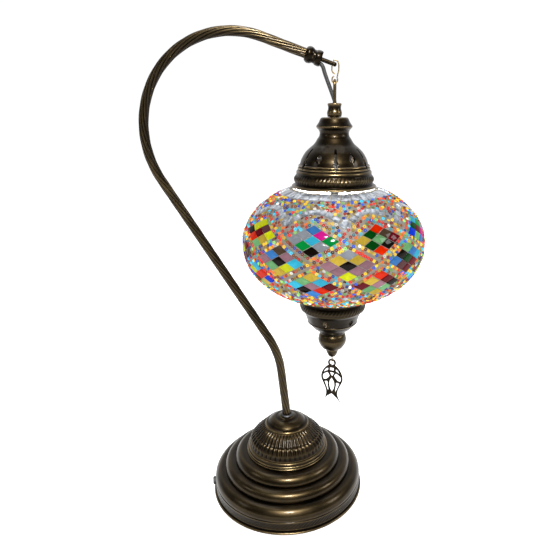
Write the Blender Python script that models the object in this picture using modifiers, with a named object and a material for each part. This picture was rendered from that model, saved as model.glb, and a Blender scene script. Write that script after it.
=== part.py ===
"""Swan-neck table lamp with a hanging mosaic glass globe, built as the real lamp is put together.

Sizes are in millimetres and turned into metres where meshes are made. +Z is up, the stand's axis is the
Z axis, and the neck and the hanging shade lie in the plane Y = 0.
"""

import math

import bmesh
import bpy
from mathutils import Matrix, Vector
from mathutils.geometry import interpolate_bezier

MM = 0.001
GAP = 0.3  # clearance left between two neighbouring pieces
WALL = 1.4  # spun sheet of the base and the caps

# Stand
BASE_RADIUS = 83.3
BASE_HEIGHT = 54.3  # up to the flat seat of the fluted dome
DOME_RADIUS = 41.1
DOME_HEIGHT = 22.4
DOME_FLUTES = 48
SEAT_MARGIN = 0.55  # flat of the base left showing round the dome
FLUTE_DEPTH = 0.8
FELT_THICK = 1.5
PLATE_THICK = 1.6
BALLAST_THICK = 12.0
BALLAST_MARGIN = 17.5  # ballast's edge in from the wall of the base
FELT_MARGIN = 3.9  # felt's edge in from the wall of the base
GLAND_Z = 10.3
CABLE_RADIUS = 1.8
LEAD_TURN = math.radians(9.0)  # the lead comes in this far round from -X towards -Y

# Swan neck: centreline made of straights and arcs, angles measured from the vertical
TUBE_RADIUS = 4.5
TUBE_WALL = 0.7
TUBE_FOOT_Z = 43.0
BEND_START_Z = 83.2
LEAN = math.radians(5.5)
LEAN_RADIUS = 100.0
FIRST_RISE = 49.2
LOWER_BEND_RADIUS = 92.6
SLOPE = math.radians(30.7)
LONG_RISE = 190.5
CROOK_RADIUS = 87.9
CROOK_SPLIT = math.radians(24.7)
CROOK_RADIUS_END = 83.9
TIP_ANGLE = math.radians(109.5)
LAST_STRAIGHT = 40.6  # from the end of the crook to the ferrule's back face

# Ferrule, rod and hook
FERRULE_LENGTH = 15.0
FERRULE_GRIP = 6.2  # how far the tube goes into the ferrule
ROD_RADIUS = 1.9
CABLE_HOLE_OFFSET = ROD_RADIUS + CABLE_RADIUS + 0.25
ROD_REACH = 14.4  # rod beyond the ferrule's front face
ROD_HOLE_SETBACK = 3.6
ROD_HOLE_RADIUS = 1.25
HOOK_WIRE = 0.6

# Shade
LOOP_WIRE = 1.4
LOOP_HALF_WIDTH = CABLE_RADIUS + LOOP_WIRE + 0.6
GRIP_DROP = 17.0  # hook's lower bend to the top of the cord grip
GRIP_HEIGHT = 12.4
SPIGOT_RADIUS = CABLE_RADIUS + 2.9  # the grip's lower end, through the cap and its nut
CAP_HEIGHT = 63.4
CAP_RADIUS = 40.4
GLOBE_RADIUS = 89.0
GLOBE_HALF_HEIGHT = 60.1
GLOBE_POWER = 2.07
SKIN_THICK = 2.4
GLASS_THICK = 2.5
TOP_OPENING = CAP_RADIUS - 3.9
LOWER_CAP_RADIUS = 36.0
BOTTOM_OPENING = LOWER_CAP_RADIUS - 7.0
LOWER_CAP_HEIGHT = 40.6
KNOB_HEIGHT = 18.6
CONE_HEIGHT = 9.2
BULB_RADIUS = 27.5
BASE_SIDES = 36  # the shell and the plate that fits inside it
ROUND = 26  # sides of the large turned pieces
SMALL = 16  # sides of the small turned pieces

# Tulip
EYE_WIRE = 0.6
EYE_RADIUS = 2.6
TULIP_YAW = math.radians(-22.0)
TULIP_THICK = 1.3
TULIP_RING_IN = 2.8
TULIP_RING_OUT = 4.3


for old in list(bpy.data.objects):
    bpy.data.objects.remove(old)
LAMP = bpy.data.collections.new("swan_neck_lamp")
CUTTERS = bpy.data.collections.new("cutters")
bpy.context.scene.collection.children.link(LAMP)
bpy.context.scene.collection.children.link(CUTTERS)


def material(name, colour, metallic=0.0, roughness=0.5, transmission=0.0):
    """One Principled material."""
    made = bpy.data.materials.new(name)
    made.use_nodes = True
    shader = made.node_tree.nodes["Principled BSDF"]
    shader.inputs["Base Color"].default_value = (*colour, 1.0)
    shader.inputs["Metallic"].default_value = metallic
    shader.inputs["Roughness"].default_value = roughness
    shader.inputs["Transmission Weight"].default_value = transmission
    return made


def bronze(name):
    """Antiqued brass with its own slot."""
    return material(name, (0.30, 0.21, 0.11), 1.0, 0.42)


def steel(name):
    """Plain zinc-plated steel with its own slot."""
    return material(name, (0.55, 0.55, 0.53), 1.0, 0.35)


def place(name, data, made, at=(0.0, 0.0, 0.0), cutter=False):
    """Link a datablock as a named object at a point given in millimetres."""
    piece = bpy.data.objects.new(name, data)
    (CUTTERS if cutter else LAMP).objects.link(piece)
    piece.location = Vector(at) * MM
    if made is not None:
        data.materials.append(made)
    if cutter:
        piece.hide_render = True
        piece.display_type = "WIRE"
    return piece


def lathe(name, profile, made, sides=SMALL, at=(0.0, 0.0, 0.0), cutter=False):
    """Turn a profile of (radius, z) pairs, listed down its outer side, about the local Z axis."""
    mesh = bpy.data.meshes.new(name)
    count = len(profile)
    points = [(r * MM, 0.0, z * MM) for r, z in profile]
    edges = [(i, i + 1) for i in range(count - 1)]
    if profile[0][0] > 0.0 or profile[-1][0] > 0.0:
        edges.append((count - 1, 0))
    mesh.from_pydata(points, edges, [])
    piece = place(name, mesh, made, at, cutter)
    turn = piece.modifiers.new("turn", "SCREW")
    turn.steps = sides
    turn.render_steps = sides
    turn.use_merge_vertices = True
    turn.merge_threshold = 0.00001
    turn.use_smooth_shade = not cutter
    return piece


def evaluated_mesh(piece):
    """A new mesh datablock holding the piece as its modifiers leave it."""
    bpy.context.view_layer.update()
    graph = bpy.context.evaluated_depsgraph_get()
    return bpy.data.meshes.new_from_object(piece.evaluated_get(graph))


def baked(piece, change=None):
    """Replace a piece's modifiers by their result, with an optional change of each vertex."""
    mesh = evaluated_mesh(piece)
    piece.modifiers.clear()
    if change:
        for vertex in mesh.vertices:
            vertex.co = change(vertex.co)
    piece.data = mesh
    return piece


def subtract(piece, cutter):
    """Cut the second piece out of the first."""
    cut = piece.modifiers.new("cut " + cutter.name, "BOOLEAN")
    cut.operation = "DIFFERENCE"
    cut.solver = "EXACT"
    cut.object = cutter
    return piece


def rod(name, start, end, radius, sides=16):
    """A cylinder cutter between two points in millimetres."""
    mesh = bpy.data.meshes.new(name)
    shape = bmesh.new()
    bmesh.ops.create_cone(
        shape,
        cap_ends=True,
        segments=sides,
        radius1=radius * MM,
        radius2=radius * MM,
        depth=(Vector(end) - Vector(start)).length * MM,
    )
    shape.to_mesh(mesh)
    shape.free()
    piece = place(name, mesh, None, (Vector(start) + Vector(end)) / 2.0, cutter=True)
    piece.rotation_euler = (Vector(end) - Vector(start)).to_track_quat("Z", "Y").to_euler()
    return piece


def wire(name, points, radius, made, resolution=2, caps=True, at=(0.0, 0.0, 0.0)):
    """A round wire or tube wall swept along points in millimetres."""
    curve = bpy.data.curves.new(name, "CURVE")
    curve.dimensions = "3D"
    curve.bevel_depth = radius * MM
    curve.bevel_resolution = resolution
    curve.use_fill_caps = caps
    line = curve.splines.new("POLY")
    line.points.add(len(points) - 1)
    for slot, point in zip(line.points, points):
        slot.co = (*(Vector(point) * MM), 1.0)
    line.use_smooth = True
    return place(name, curve, made, at)


def as_mesh(piece):
    """Turn a curve object into a welded mesh object of the same name."""
    name = piece.name
    mesh = evaluated_mesh(piece)
    matrix = piece.matrix_world.copy()
    shape = bmesh.new()
    shape.from_mesh(mesh)
    bmesh.ops.remove_doubles(shape, verts=shape.verts, dist=0.00001)
    bmesh.ops.recalc_face_normals(shape, faces=shape.faces)
    shape.to_mesh(mesh)
    shape.free()
    bpy.data.objects.remove(piece)
    solid = bpy.data.objects.new(name, mesh)
    LAMP.objects.link(solid)
    solid.matrix_world = matrix
    return solid


def sheet(name, outlines, half_thick, made, at=(0.0, 0.0, 0.0)):
    """A flat plate from a closed outline and its holes, in the local XY plane."""
    curve = bpy.data.curves.new(name, "CURVE")
    curve.dimensions = "2D"
    curve.fill_mode = "BOTH"
    curve.extrude = half_thick * MM
    for outline in outlines:
        line = curve.splines.new("POLY")
        line.points.add(len(outline) - 1)
        line.use_cyclic_u = True
        for slot, (x, y) in zip(line.points, outline):
            slot.co = (x * MM, y * MM, 0.0, 1.0)
    return place(name, curve, made, at)


def copies(piece, matrices):
    """Replace a piece by separate numbered copies, one at each matrix."""
    mesh = evaluated_mesh(piece)
    name = piece.name
    bpy.data.objects.remove(piece)
    for index, matrix in enumerate(matrices):
        copy = mesh.copy()
        copy.transform(matrix)
        place(f"{name}_{index + 1}", copy, None)


def hex_nut(name, across_flats, low, high, bore, made, at=(0.0, 0.0, 0.0)):
    """A plain hexagon nut with its hole."""
    mesh = bpy.data.meshes.new(name)
    shape = bmesh.new()
    corner = across_flats / math.sqrt(3.0)
    bmesh.ops.create_cone(
        shape,
        cap_ends=True,
        segments=6,
        radius1=corner * MM,
        radius2=corner * MM,
        depth=(high - low) * MM,
    )
    shape.to_mesh(mesh)
    shape.free()
    centre = Vector(at) + Vector((0.0, 0.0, (low + high) / 2.0))
    nut = place(name, mesh, made, centre)
    hole = rod(name + "_hole", centre - Vector((0, 0, high - low)), centre + Vector((0, 0, high - low)), bore)
    return subtract(nut, hole)


def arc(centre, radius, start, end, count):
    """Points of an arc in the XZ plane, angles from +X towards +Z."""
    x, z = centre
    steps = [start + (end - start) * i / count for i in range(count + 1)]
    return [(x + radius * math.cos(a), 0.0, z + radius * math.sin(a)) for a in steps]


def bezier(start, first, last, end, count=10):
    """Points of a Bezier piece in 2-D, without its last point."""
    pieces = interpolate_bezier(*(Vector((*p, 0.0)) for p in (start, first, last, end)), count)
    return [(p.x, p.y) for p in pieces[:-1]]


# ---------------------------------------------------------------- the neck's centreline

def neck_line():
    """Centreline points of the swan neck from its foot to the ferrule's back face, and where it ends."""
    points = [(0.0, 0.0, TUBE_FOOT_Z), (0.0, 0.0, BEND_START_Z)]
    here = Vector((0.0, 0.0, BEND_START_Z))
    angle = 0.0

    def bend(radius, to, left, count):
        """Turn from the present direction to another, to the left or to the right."""
        nonlocal here, angle
        side = Vector((math.cos(angle), 0.0, math.sin(angle))) * (-1.0 if left else 1.0)
        centre = here + side * radius
        for i in range(1, count + 1):
            now = angle + (to - angle) * i / count
            side = Vector((math.cos(now), 0.0, math.sin(now))) * (-1.0 if left else 1.0)
            points.append(tuple(centre - side * radius))
        here = Vector(points[-1])
        angle = to

    def straight(length):
        """Go on in the present direction."""
        nonlocal here
        here = here + Vector((-math.sin(angle), 0.0, math.cos(angle))) * length
        points.append(tuple(here))

    bend(LEAN_RADIUS, LEAN, True, 2)
    straight(FIRST_RISE)
    bend(LOWER_BEND_RADIUS, SLOPE, True, 5)
    straight(LONG_RISE)
    bend(CROOK_RADIUS, -CROOK_SPLIT, False, 9)
    bend(CROOK_RADIUS_END, -TIP_ANGLE, False, 12)
    straight(LAST_STRAIGHT)
    return points, here


NECK, FERRULE_BACK = neck_line()
ALONG = Vector((math.sin(TIP_ANGLE), 0.0, math.cos(TIP_ANGLE)))
BELOW = Vector((ALONG.z, 0.0, -ALONG.x))
TIP_TURN = (0.0, TIP_ANGLE, 0.0)
ROD_LENGTH = FERRULE_LENGTH + ROD_REACH
HOLE_CENTRE = FERRULE_BACK + ALONG * (ROD_LENGTH - ROD_HOLE_SETBACK)
HANG_X = HOLE_CENTRE.x + 1.9  # plumb line of everything that hangs
HOOK_PIVOT_Z = HOLE_CENTRE.z + 0.95
HOOK_TOP_Z = HOOK_PIVOT_Z + HOOK_WIRE + 0.1
HANG_Z = HOOK_PIVOT_Z - 17.3  # axis of the hook wire that carries the shade
PLUMB = (HANG_X, 0.0, 0.0)

# Heights of the shade's pieces, from the hook down
GRIP_TOP = HANG_Z - GRIP_DROP
CAP_TOP = GRIP_TOP - GRIP_HEIGHT
FLANGE_Z = CAP_TOP - CAP_HEIGHT


def globe_height(radius, half_width, half_height):
    """Height above the globe's centre of its surface at a radius."""
    return half_height * (1.0 - (radius / half_width) ** GLOBE_POWER) ** (1.0 / GLOBE_POWER)


def globe_arc(inset, top_radius, bottom_radius):
    """Profile of a globe surface set in from the outer one, between two opening radii, top to bottom."""
    wide = GLOBE_RADIUS - inset
    high = GLOBE_HALF_HEIGHT - inset
    first = math.acos((top_radius / wide) ** (GLOBE_POWER / 2.0))
    last = -math.acos((bottom_radius / wide) ** (GLOBE_POWER / 2.0))
    between = [math.radians(12.0 * i) for i in range(4, -5, -1)]
    line = []
    for a in [first] + between + [last]:
        z = math.copysign(abs(math.sin(a)) ** (2.0 / GLOBE_POWER), a) * high
        line.append((wide * math.cos(a) ** (2.0 / GLOBE_POWER), GLOBE_Z + z))
    return line


SKIN_TOP = CAP_RADIUS - 0.5
SKIN_BOTTOM = LOWER_CAP_RADIUS - 0.8
GLOBE_Z = FLANGE_Z - GAP - globe_height(SKIN_TOP, GLOBE_RADIUS, GLOBE_HALF_HEIGHT)
LOWER_FLANGE_Z = GLOBE_Z - globe_height(SKIN_BOTTOM, GLOBE_RADIUS, GLOBE_HALF_HEIGHT) - GAP
KNOB_TOP = LOWER_FLANGE_Z - LOWER_CAP_HEIGHT - GAP
CONE_TOP = KNOB_TOP - KNOB_HEIGHT - GAP
CONE_FOOT = CONE_TOP - CONE_HEIGHT
EYE_Z = CONE_FOOT - EYE_RADIUS - EYE_WIRE - GAP
TULIP_Z = EYE_Z - EYE_RADIUS  # axis of the eye's lower wire, which the tulip's ring swings on

# ---------------------------------------------------------------- base

# Outline of the tiered base from the flat seat down to the rim: share of the way out from the dome's seat to
# the rim, and share of the height
BASE_OUTLINE = (
    (0.000, 1.000), (0.044, 0.982), (0.060, 0.932), (0.080, 0.872), (0.264, 0.850), (0.328, 0.812),
    (0.376, 0.760), (0.388, 0.692), (0.550, 0.672), (0.612, 0.640), (0.652, 0.590), (0.664, 0.512),
    (0.824, 0.478), (0.888, 0.438), (0.932, 0.386), (0.954, 0.315), (0.954, 0.060), (1.000, 0.050),
    (1.000, 0.015),
)
seat_radius = DOME_RADIUS + SEAT_MARGIN
tier_width = BASE_RADIUS - seat_radius
base_outside = [(seat_radius + share * tier_width, z * BASE_HEIGHT) for share, z in BASE_OUTLINE]
inner_picks = (0, 3, 7, 11, 15)
base_inside = [(base_outside[i][0] - WALL, base_outside[i][1] - WALL) for i in inner_picks]
wall_radius = seat_radius + 0.954 * tier_width
rim_inside = wall_radius - WALL
seat_hole = TUBE_RADIUS + GAP
base_shell = lathe(
    "base_shell",
    [(seat_hole, BASE_HEIGHT)]
    + base_outside
    + [(rim_inside, base_outside[-1][1])]
    + base_inside[::-1]
    + [(seat_hole, BASE_HEIGHT - WALL)],
    bronze("base_shell"),
    BASE_SIDES,
)
gland_face = wall_radius
lead_turn = Matrix.Rotation(LEAD_TURN, 3, "Z")


def turned(x, y, z):
    """A point of the lead's inlet, laid out along -X, turned to where the lead comes in."""
    return tuple(lead_turn @ Vector((x, y, z)))


gland_hole = rod("gland_hole", turned(-gland_face - 9.0, 0.0, GLAND_Z), turned(-gland_face + 9.0, 0.0, GLAND_Z), 3.6)
subtract(base_shell, gland_hole)

felt_radius = wall_radius - FELT_MARGIN
lathe(
    "felt_pad",
    [(0.0, FELT_THICK), (felt_radius, FELT_THICK), (felt_radius, 0.0), (0.0, 0.0)],
    material("felt_pad", (0.03, 0.03, 0.03), 0.0, 0.95),
    ROUND,
)

plate_low = FELT_THICK + GAP
plate_high = plate_low + PLATE_THICK
plate_radius = rim_inside - GAP
ballast_low = plate_high + GAP
ballast_high = ballast_low + BALLAST_THICK
ballast_radius = rim_inside - BALLAST_MARGIN
screw_circle = ballast_radius - 16.7
bottom_plate = lathe(
    "bottom_plate",
    [(0.0, plate_high), (plate_radius, plate_high), (plate_radius, plate_low), (0.0, plate_low)],
    steel("bottom_plate"),
    BASE_SIDES,
)
ballast = lathe(
    "ballast",
    [(22.0, ballast_high), (ballast_radius, ballast_high), (ballast_radius, ballast_low), (22.0, ballast_low)],
    material("ballast", (0.16, 0.16, 0.17), 0.6, 0.7),
    ROUND,
)
turns = [Matrix.Rotation(math.radians(60.0 + 120.0 * i), 4, "Z") for i in range(3)]
screw_places = [turn @ Matrix.Translation((screw_circle * MM, 0.0, 0.0)) for turn in turns]
for index, spot in enumerate(screw_places):
    x, y = (spot.translation / MM).xy
    hole = lathe(
        f"plate_hole_{index}",
        [(0.0, plate_high + 1.0), (2.2, plate_high + 1.0), (2.2, plate_high - 0.5), (4.0, plate_low),
         (4.0, plate_low - 1.0), (0.0, plate_low - 1.0)],
        None,
        16,
        (x, y, 0.0),
        True,
    )
    subtract(bottom_plate, hole)
    subtract(ballast, rod(f"ballast_hole_{index}", (x, y, ballast_low - 2.0), (x, y, ballast_high - 2.5), 2.2))
copies(
    lathe(
        "plate_screw",
        [(0.0, ballast_high - 3.5), (1.9, ballast_high - 3.5), (1.9, plate_high - 0.4), (3.5, plate_low + 0.1),
         (0.0, plate_low + 0.1)],
        steel("plate_screw"),
        12,
    ),
    screw_places,
)

# The lead comes in at the left through a snap-in gland, and a saddle on the ballast takes its pull
lead_z = ballast_high + GAP + CABLE_RADIUS + 0.1
saddle_x = 23.7 - ballast_radius
saddle_screw_y = 7.0
gland_out = gland_face + GAP
gland_bore = CABLE_RADIUS + GAP + 0.05
gland = lathe(
    "cable_gland",
    [(gland_bore, 2.7), (3.6, 2.7), (4.4, 1.9), (4.4, 0.0), (3.3, 0.0), (3.3, -3.2), (4.0, -3.6), (3.2, -6.0),
     (gland_bore, -6.0)],
    material("cable_gland", (0.02, 0.02, 0.02), 0.0, 0.5),
    16,
    turned(-gland_out, 0.0, GLAND_Z),
)
gland.rotation_euler = (0.0, -math.pi / 2.0, LEAD_TURN)
saddle_outline = [(-10.0, 0.0), (-3.0, 0.0)]
saddle_outline += [(-3.0 * math.cos(a), 2.6 + 2.4 * math.sin(a)) for a in (0.0, 0.6, 1.1, 1.57, 2.04, 2.54, 3.14)]
saddle_outline += [(3.0, 0.0), (10.0, 0.0), (10.0, 1.4), (4.4, 1.4)]
saddle_outline += [(4.4 * math.cos(a), 2.6 + 3.9 * math.sin(a)) for a in (0.0, 0.6, 1.1, 1.57, 2.04, 2.54, 3.14)]
saddle_outline += [(-4.4, 1.4), (-10.0, 1.4)]
saddle = sheet("cord_saddle", [saddle_outline], 4.0, steel("cord_saddle"))
saddle.rotation_euler = (math.pi / 2.0, 0.0, math.pi / 2.0 + LEAD_TURN)
saddle.location = Vector(turned(saddle_x, 0.0, ballast_high + GAP)) * MM
saddle = as_mesh(saddle)
for side in (-1.0, 1.0):
    y = side * saddle_screw_y
    low = ballast_high - 7.0
    high = ballast_high + 4.0
    hole = rod(f"saddle_hole_{int(side)}", turned(saddle_x, y, low), turned(saddle_x, y, high), 1.7, 12)
    subtract(saddle, hole)
    subtract(ballast, hole)
saddle_top = ballast_high + GAP + 1.4
copies(
    lathe(
        "saddle_screw",
        [(0.0, saddle_top + 2.2), (2.4, saddle_top + 1.8), (2.6, saddle_top + GAP), (1.4, saddle_top + GAP),
         (1.4, ballast_high - 6.0), (0.0, ballast_high - 6.0)],
        steel("saddle_screw"),
        12,
    ),
    [Matrix.Translation(Vector(turned(saddle_x, side * saddle_screw_y, 0.0)) * MM) for side in (-1.0, 1.0)],
)

feed_points = [(-gland_out - 2.0, 0.0, GLAND_Z), (-gland_face + 8.0, 0.0, GLAND_Z)]
feed_points += [(-gland_face + 12.0, 0.0, GLAND_Z + 2.6), (-ballast_radius - 1.0, 0.0, lead_z + 0.5)]
feed_points += [(-ballast_radius + 4.0, 0.0, lead_z), (-12.0, 0.0, lead_z), (-6.0, 0.0, lead_z + 2.0)]
feed_points += [(-2.0, 0.0, lead_z + 6.5), (0.0, 0.0, lead_z + 13.0)]
feed_points = [turned(*point) for point in feed_points]
feed_points += list(NECK[1:])
cable_black = (0.015, 0.015, 0.016)
feed_points.append(tuple(FERRULE_BACK + ALONG * (FERRULE_GRIP - 1.2)))
wire("feed_cable", feed_points, CABLE_RADIUS, material("feed_cable", cable_black, 0.0, 0.45))

# ---------------------------------------------------------------- dome and its cap

dome_low = BASE_HEIGHT + GAP
dome_hole = 12.0
DOME_OUTLINE = ((1.0, 0.0), (0.985, 0.28), (0.885, 0.53), (0.752, 0.745), (0.572, 1.0))
dome_outside = [(r * DOME_RADIUS, dome_low + z * DOME_HEIGHT) for r, z in DOME_OUTLINE[::-1]]
dome_top = dome_outside[0][0]
dome_high = dome_low + DOME_HEIGHT
dome = lathe(
    "fluted_dome",
    [(dome_hole, dome_high)]
    + dome_outside
    + [(DOME_RADIUS - 3.2, dome_low), (dome_top - 2.5, dome_high - 2.6), (dome_hole, dome_high - 2.6)],
    bronze("fluted_dome"),
    DOME_FLUTES * 2,
)


def flute(point):
    """Pull every second line of the dome's wall inwards, and leave its foot, top and inside alone."""
    radius = point.xy.length / MM
    z = point.z / MM
    share = (z - dome_low) / DOME_HEIGHT
    outline = [(b, a * DOME_RADIUS) for a, b in DOME_OUTLINE]
    wall = outline[-1][1]
    for (low, first), (high, second) in zip(outline[:-1], outline[1:]):
        if low <= share <= high:
            wall = first + (second - first) * (share - low) / (high - low)
    if abs(radius - wall) > 0.05 or share < 0.05 or share > 0.95:
        return point
    line = round(math.atan2(point.y, point.x) / math.pi * DOME_FLUTES)
    depth = FLUTE_DEPTH if line % 2 else 0.0
    return Vector((point.x * (radius - depth) / radius, point.y * (radius - depth) / radius, point.z))


baked(dome, flute)

cap_low = dome_high + GAP
lathe(
    "dome_cap",
    [(seat_hole, cap_low + 9.3), (seat_hole + 2.9, cap_low + 9.3), (seat_hole + 5.9, cap_low + 8.2),
     (dome_top - 6.8, cap_low + 5.9), (dome_top - 1.9, cap_low + 2.9), (dome_top, cap_low + 1.1),
     (dome_top - 0.3, cap_low), (dome_hole - GAP, cap_low),
     (dome_hole - GAP, cap_low - 4.0), (seat_hole, cap_low - 4.0)],
    bronze("dome_cap"),
    ROUND,
)
grommet_low = cap_low + 9.3 + GAP
lathe(
    "neck_grommet",
    [(TUBE_RADIUS + 0.6, grommet_low + 2.3), (TUBE_RADIUS + 1.7, grommet_low + 2.1),
     (TUBE_RADIUS + 2.5, grommet_low + 1.1), (TUBE_RADIUS + 2.1, grommet_low), (TUBE_RADIUS + 0.6, grommet_low)],
    material("neck_grommet", (0.02, 0.02, 0.02), 0.0, 0.6),
)
hex_nut("neck_jam_nut", 15.0, BASE_HEIGHT + GAP, BASE_HEIGHT + GAP + 4.0, seat_hole, steel("neck_jam_nut"))
washer_high = BASE_HEIGHT - WALL - GAP
lathe(
    "neck_washer",
    [(seat_hole, washer_high), (10.5, washer_high), (10.5, washer_high - 1.2), (seat_hole, washer_high - 1.2)],
    steel("neck_washer"),
)
nut_high = washer_high - 1.2 - GAP
hex_nut("neck_lock_nut", 15.0, nut_high - 4.0, nut_high, seat_hole, steel("neck_lock_nut"))

# ---------------------------------------------------------------- neck, ferrule, rod and hook

tube_end = tuple(FERRULE_BACK + ALONG * FERRULE_GRIP)
neck = as_mesh(wire("neck_tube", NECK[:-1] + [tube_end], TUBE_RADIUS, bronze("neck_tube"), 4, caps=False))
neck_wall = neck.modifiers.new("wall", "SOLIDIFY")
neck_wall.thickness = TUBE_WALL * MM
neck_wall.offset = -1.0
neck_wall.use_rim = True

ferrule_bore = TUBE_RADIUS + GAP
front = FERRULE_LENGTH
nose = CABLE_HOLE_OFFSET + CABLE_RADIUS + 0.45  # ferrule round the cable's outlet
cavity = CABLE_HOLE_OFFSET + CABLE_RADIUS - 0.45
ferrule = lathe(
    "end_ferrule",
    [(ROD_RADIUS + 0.2, front), (nose, front), (nose + 0.6, front - 1.6), (nose + 0.5, front - 4.0),
     (nose - 0.3, front - 5.8), (nose - 0.4, front - 7.2), (TUBE_RADIUS + 2.4, front - 9.4),
     (TUBE_RADIUS + 2.75, front - 11.3), (TUBE_RADIUS + 2.2, front - 13.4), (TUBE_RADIUS + 1.1, 0.0),
     (ferrule_bore, 0.0), (ferrule_bore, front - 8.0), (cavity, front - 7.6), (cavity, front - 4.5),
     (ROD_RADIUS + 0.2, front - 4.5)],
    bronze("end_ferrule"),
    20,
    tuple(FERRULE_BACK),
)
ferrule.rotation_euler = TIP_TURN
outlet = [FERRULE_BACK + ALONG * s + BELOW * CABLE_HOLE_OFFSET for s in (front - 5.5, front + 3.0)]
subtract(ferrule, rod("cable_outlet", tuple(outlet[0]), tuple(outlet[1]), CABLE_RADIUS + 0.3))

hook_rod = lathe(
    "hook_rod",
    [(0.0, ROD_LENGTH), (0.9, ROD_LENGTH - 0.15), (1.6, ROD_LENGTH - 0.6), (ROD_RADIUS, ROD_LENGTH - 1.4),
     (ROD_RADIUS, front - 3.4), (0.0, front - 3.4)],
    bronze("hook_rod"),
    16,
    tuple(FERRULE_BACK),
)
hook_rod.rotation_euler = TIP_TURN
hole_ends = [tuple(HOLE_CENTRE + BELOW * reach) for reach in (-4.0, 4.0)]
subtract(hook_rod, rod("hook_hole", hole_ends[0], hole_ends[1], ROD_HOLE_RADIUS, 16))

# The hook: an upper ring through the rod's hole and over its tip, and a lower ring for the shade
hook_bottom = HANG_Z + 2.5
upper = [(HANG_X + 0.5, 0.0, HANG_Z + 8.1), (HANG_X - 1.2, 0.0, HANG_Z + 8.4), (HANG_X - 2.6, 0.0, HANG_Z + 10.2)]
upper += [(HANG_X - 2.75, 0.0, HANG_Z + 12.2), tuple(HOLE_CENTRE + BELOW * 2.2), tuple(HOLE_CENTRE)]
upper += [tuple(HOLE_CENTRE - BELOW * 1.6), (HANG_X - 0.75, 0.0, HOOK_TOP_Z + 1.45)]
upper += [(HANG_X + 0.5, 0.0, HOOK_TOP_Z + 1.5), (HANG_X + 2.1, 0.0, HOOK_TOP_Z + 0.6)]
upper += [(HANG_X + 3.2, 0.0, HOOK_TOP_Z - 1.2), (HANG_X + 3.5, 0.0, HOOK_TOP_Z - 4.0)]
upper += [(HANG_X + 3.3, 0.0, HANG_Z + 10.0), (HANG_X + 2.6, 0.0, HANG_Z + 7.9), (HANG_X + 2.5, 0.0, HANG_Z + 6.6)]
lower = arc((HANG_X, hook_bottom + 0.9), 2.5, math.radians(35.0), 0.0, 2)
lower += arc((HANG_X, hook_bottom), 2.5, 0.0, math.radians(-180.0), 10)
lower += arc((HANG_X, hook_bottom + 0.9), 2.5, math.radians(180.0), math.radians(105.0), 4)
hook_path = [(x - HANG_X, y, z - HOOK_PIVOT_Z) for x, y, z in upper + lower]
wire("s_hook", hook_path, HOOK_WIRE, bronze("s_hook"), at=(HANG_X, 0.0, HOOK_PIVOT_Z))

# ---------------------------------------------------------------- hanging loop, cord grip and drop cable

loop_top = HANG_Z + HOOK_WIRE + GAP + LOOP_WIRE
loop_centre = loop_top - LOOP_HALF_WIDTH
loop_foot = GRIP_TOP - 6.0
bend_steps = [math.pi * i / 10.0 for i in range(11)]
loop_path = [(0.0, LOOP_HALF_WIDTH, loop_foot)]
loop_path += [(0.0, LOOP_HALF_WIDTH * math.cos(a), loop_centre + LOOP_HALF_WIDTH * math.sin(a)) for a in bend_steps]
loop_path.append((0.0, -LOOP_HALF_WIDTH, loop_foot))
loop_path = [(x, y, z - HANG_Z) for x, y, z in loop_path]
wire("hanging_loop", loop_path, LOOP_WIRE, bronze("hanging_loop"), at=(HANG_X, 0.0, HANG_Z))

spigot_foot = CAP_TOP - 20.0
grip_radius = LOOP_HALF_WIDTH + LOOP_WIRE + 0.7
GRIP_OUTLINE = ((0.0, 0.0), (0.6, 1.0), (0.2, 2.6), (0.0, 4.3), (0.3, 6.1), (0.9, 7.8), (0.9, 9.6))
cord_grip = lathe(
    "cord_grip",
    [(CABLE_RADIUS + GAP, GRIP_TOP)]
    + [(grip_radius + r, GRIP_TOP - z) for r, z in GRIP_OUTLINE]
    + [(grip_radius + 0.4, CAP_TOP + GAP), (SPIGOT_RADIUS, CAP_TOP + GAP), (SPIGOT_RADIUS, spigot_foot),
       (CABLE_RADIUS + GAP, spigot_foot)],
    bronze("cord_grip"),
    20,
    PLUMB,
)
for side in (-1.0, 1.0):
    y = side * LOOP_HALF_WIDTH
    subtract(cord_grip, rod(f"leg_hole_{int(side)}", (HANG_X, y, loop_foot - 0.8), (HANG_X, y, GRIP_TOP + 3.0),
                            LOOP_WIRE + 0.2, 12))

drop_start = FERRULE_BACK + ALONG * (FERRULE_GRIP + 0.6)
drop_line = [tuple(drop_start + BELOW * 1.3), tuple(FERRULE_BACK + ALONG * (front - 6.0) + BELOW * 2.7)]
drop_line += [tuple(FERRULE_BACK + ALONG * s + BELOW * CABLE_HOLE_OFFSET) for s in (front - 4.2, front + 0.4)]
drop_bend = Vector(drop_line[-1])
drop_line += [tuple(drop_bend + Vector((1.5, 0.0, -1.3))), tuple(drop_bend + Vector((2.6, 0.0, -3.4)))]
drop_foot = Vector((HANG_X, 0.0, GRIP_TOP - 1.2))
first = Vector(drop_line[-1])
entry = Vector((HANG_X, 0.0, GRIP_TOP + 1.6))
slack = interpolate_bezier(
    first, first + Vector((1.8, 0.0, -7.0)), entry + Vector((-2.2, 0.0, 7.0)), entry, 9
)
drop_line += [tuple(p) for p in slack[1:]] + [tuple(drop_foot)]
wire("drop_cable", drop_line, CABLE_RADIUS, material("drop_cable", cable_black, 0.0, 0.45))

# ---------------------------------------------------------------- top cap, lampholder and bulb

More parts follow.
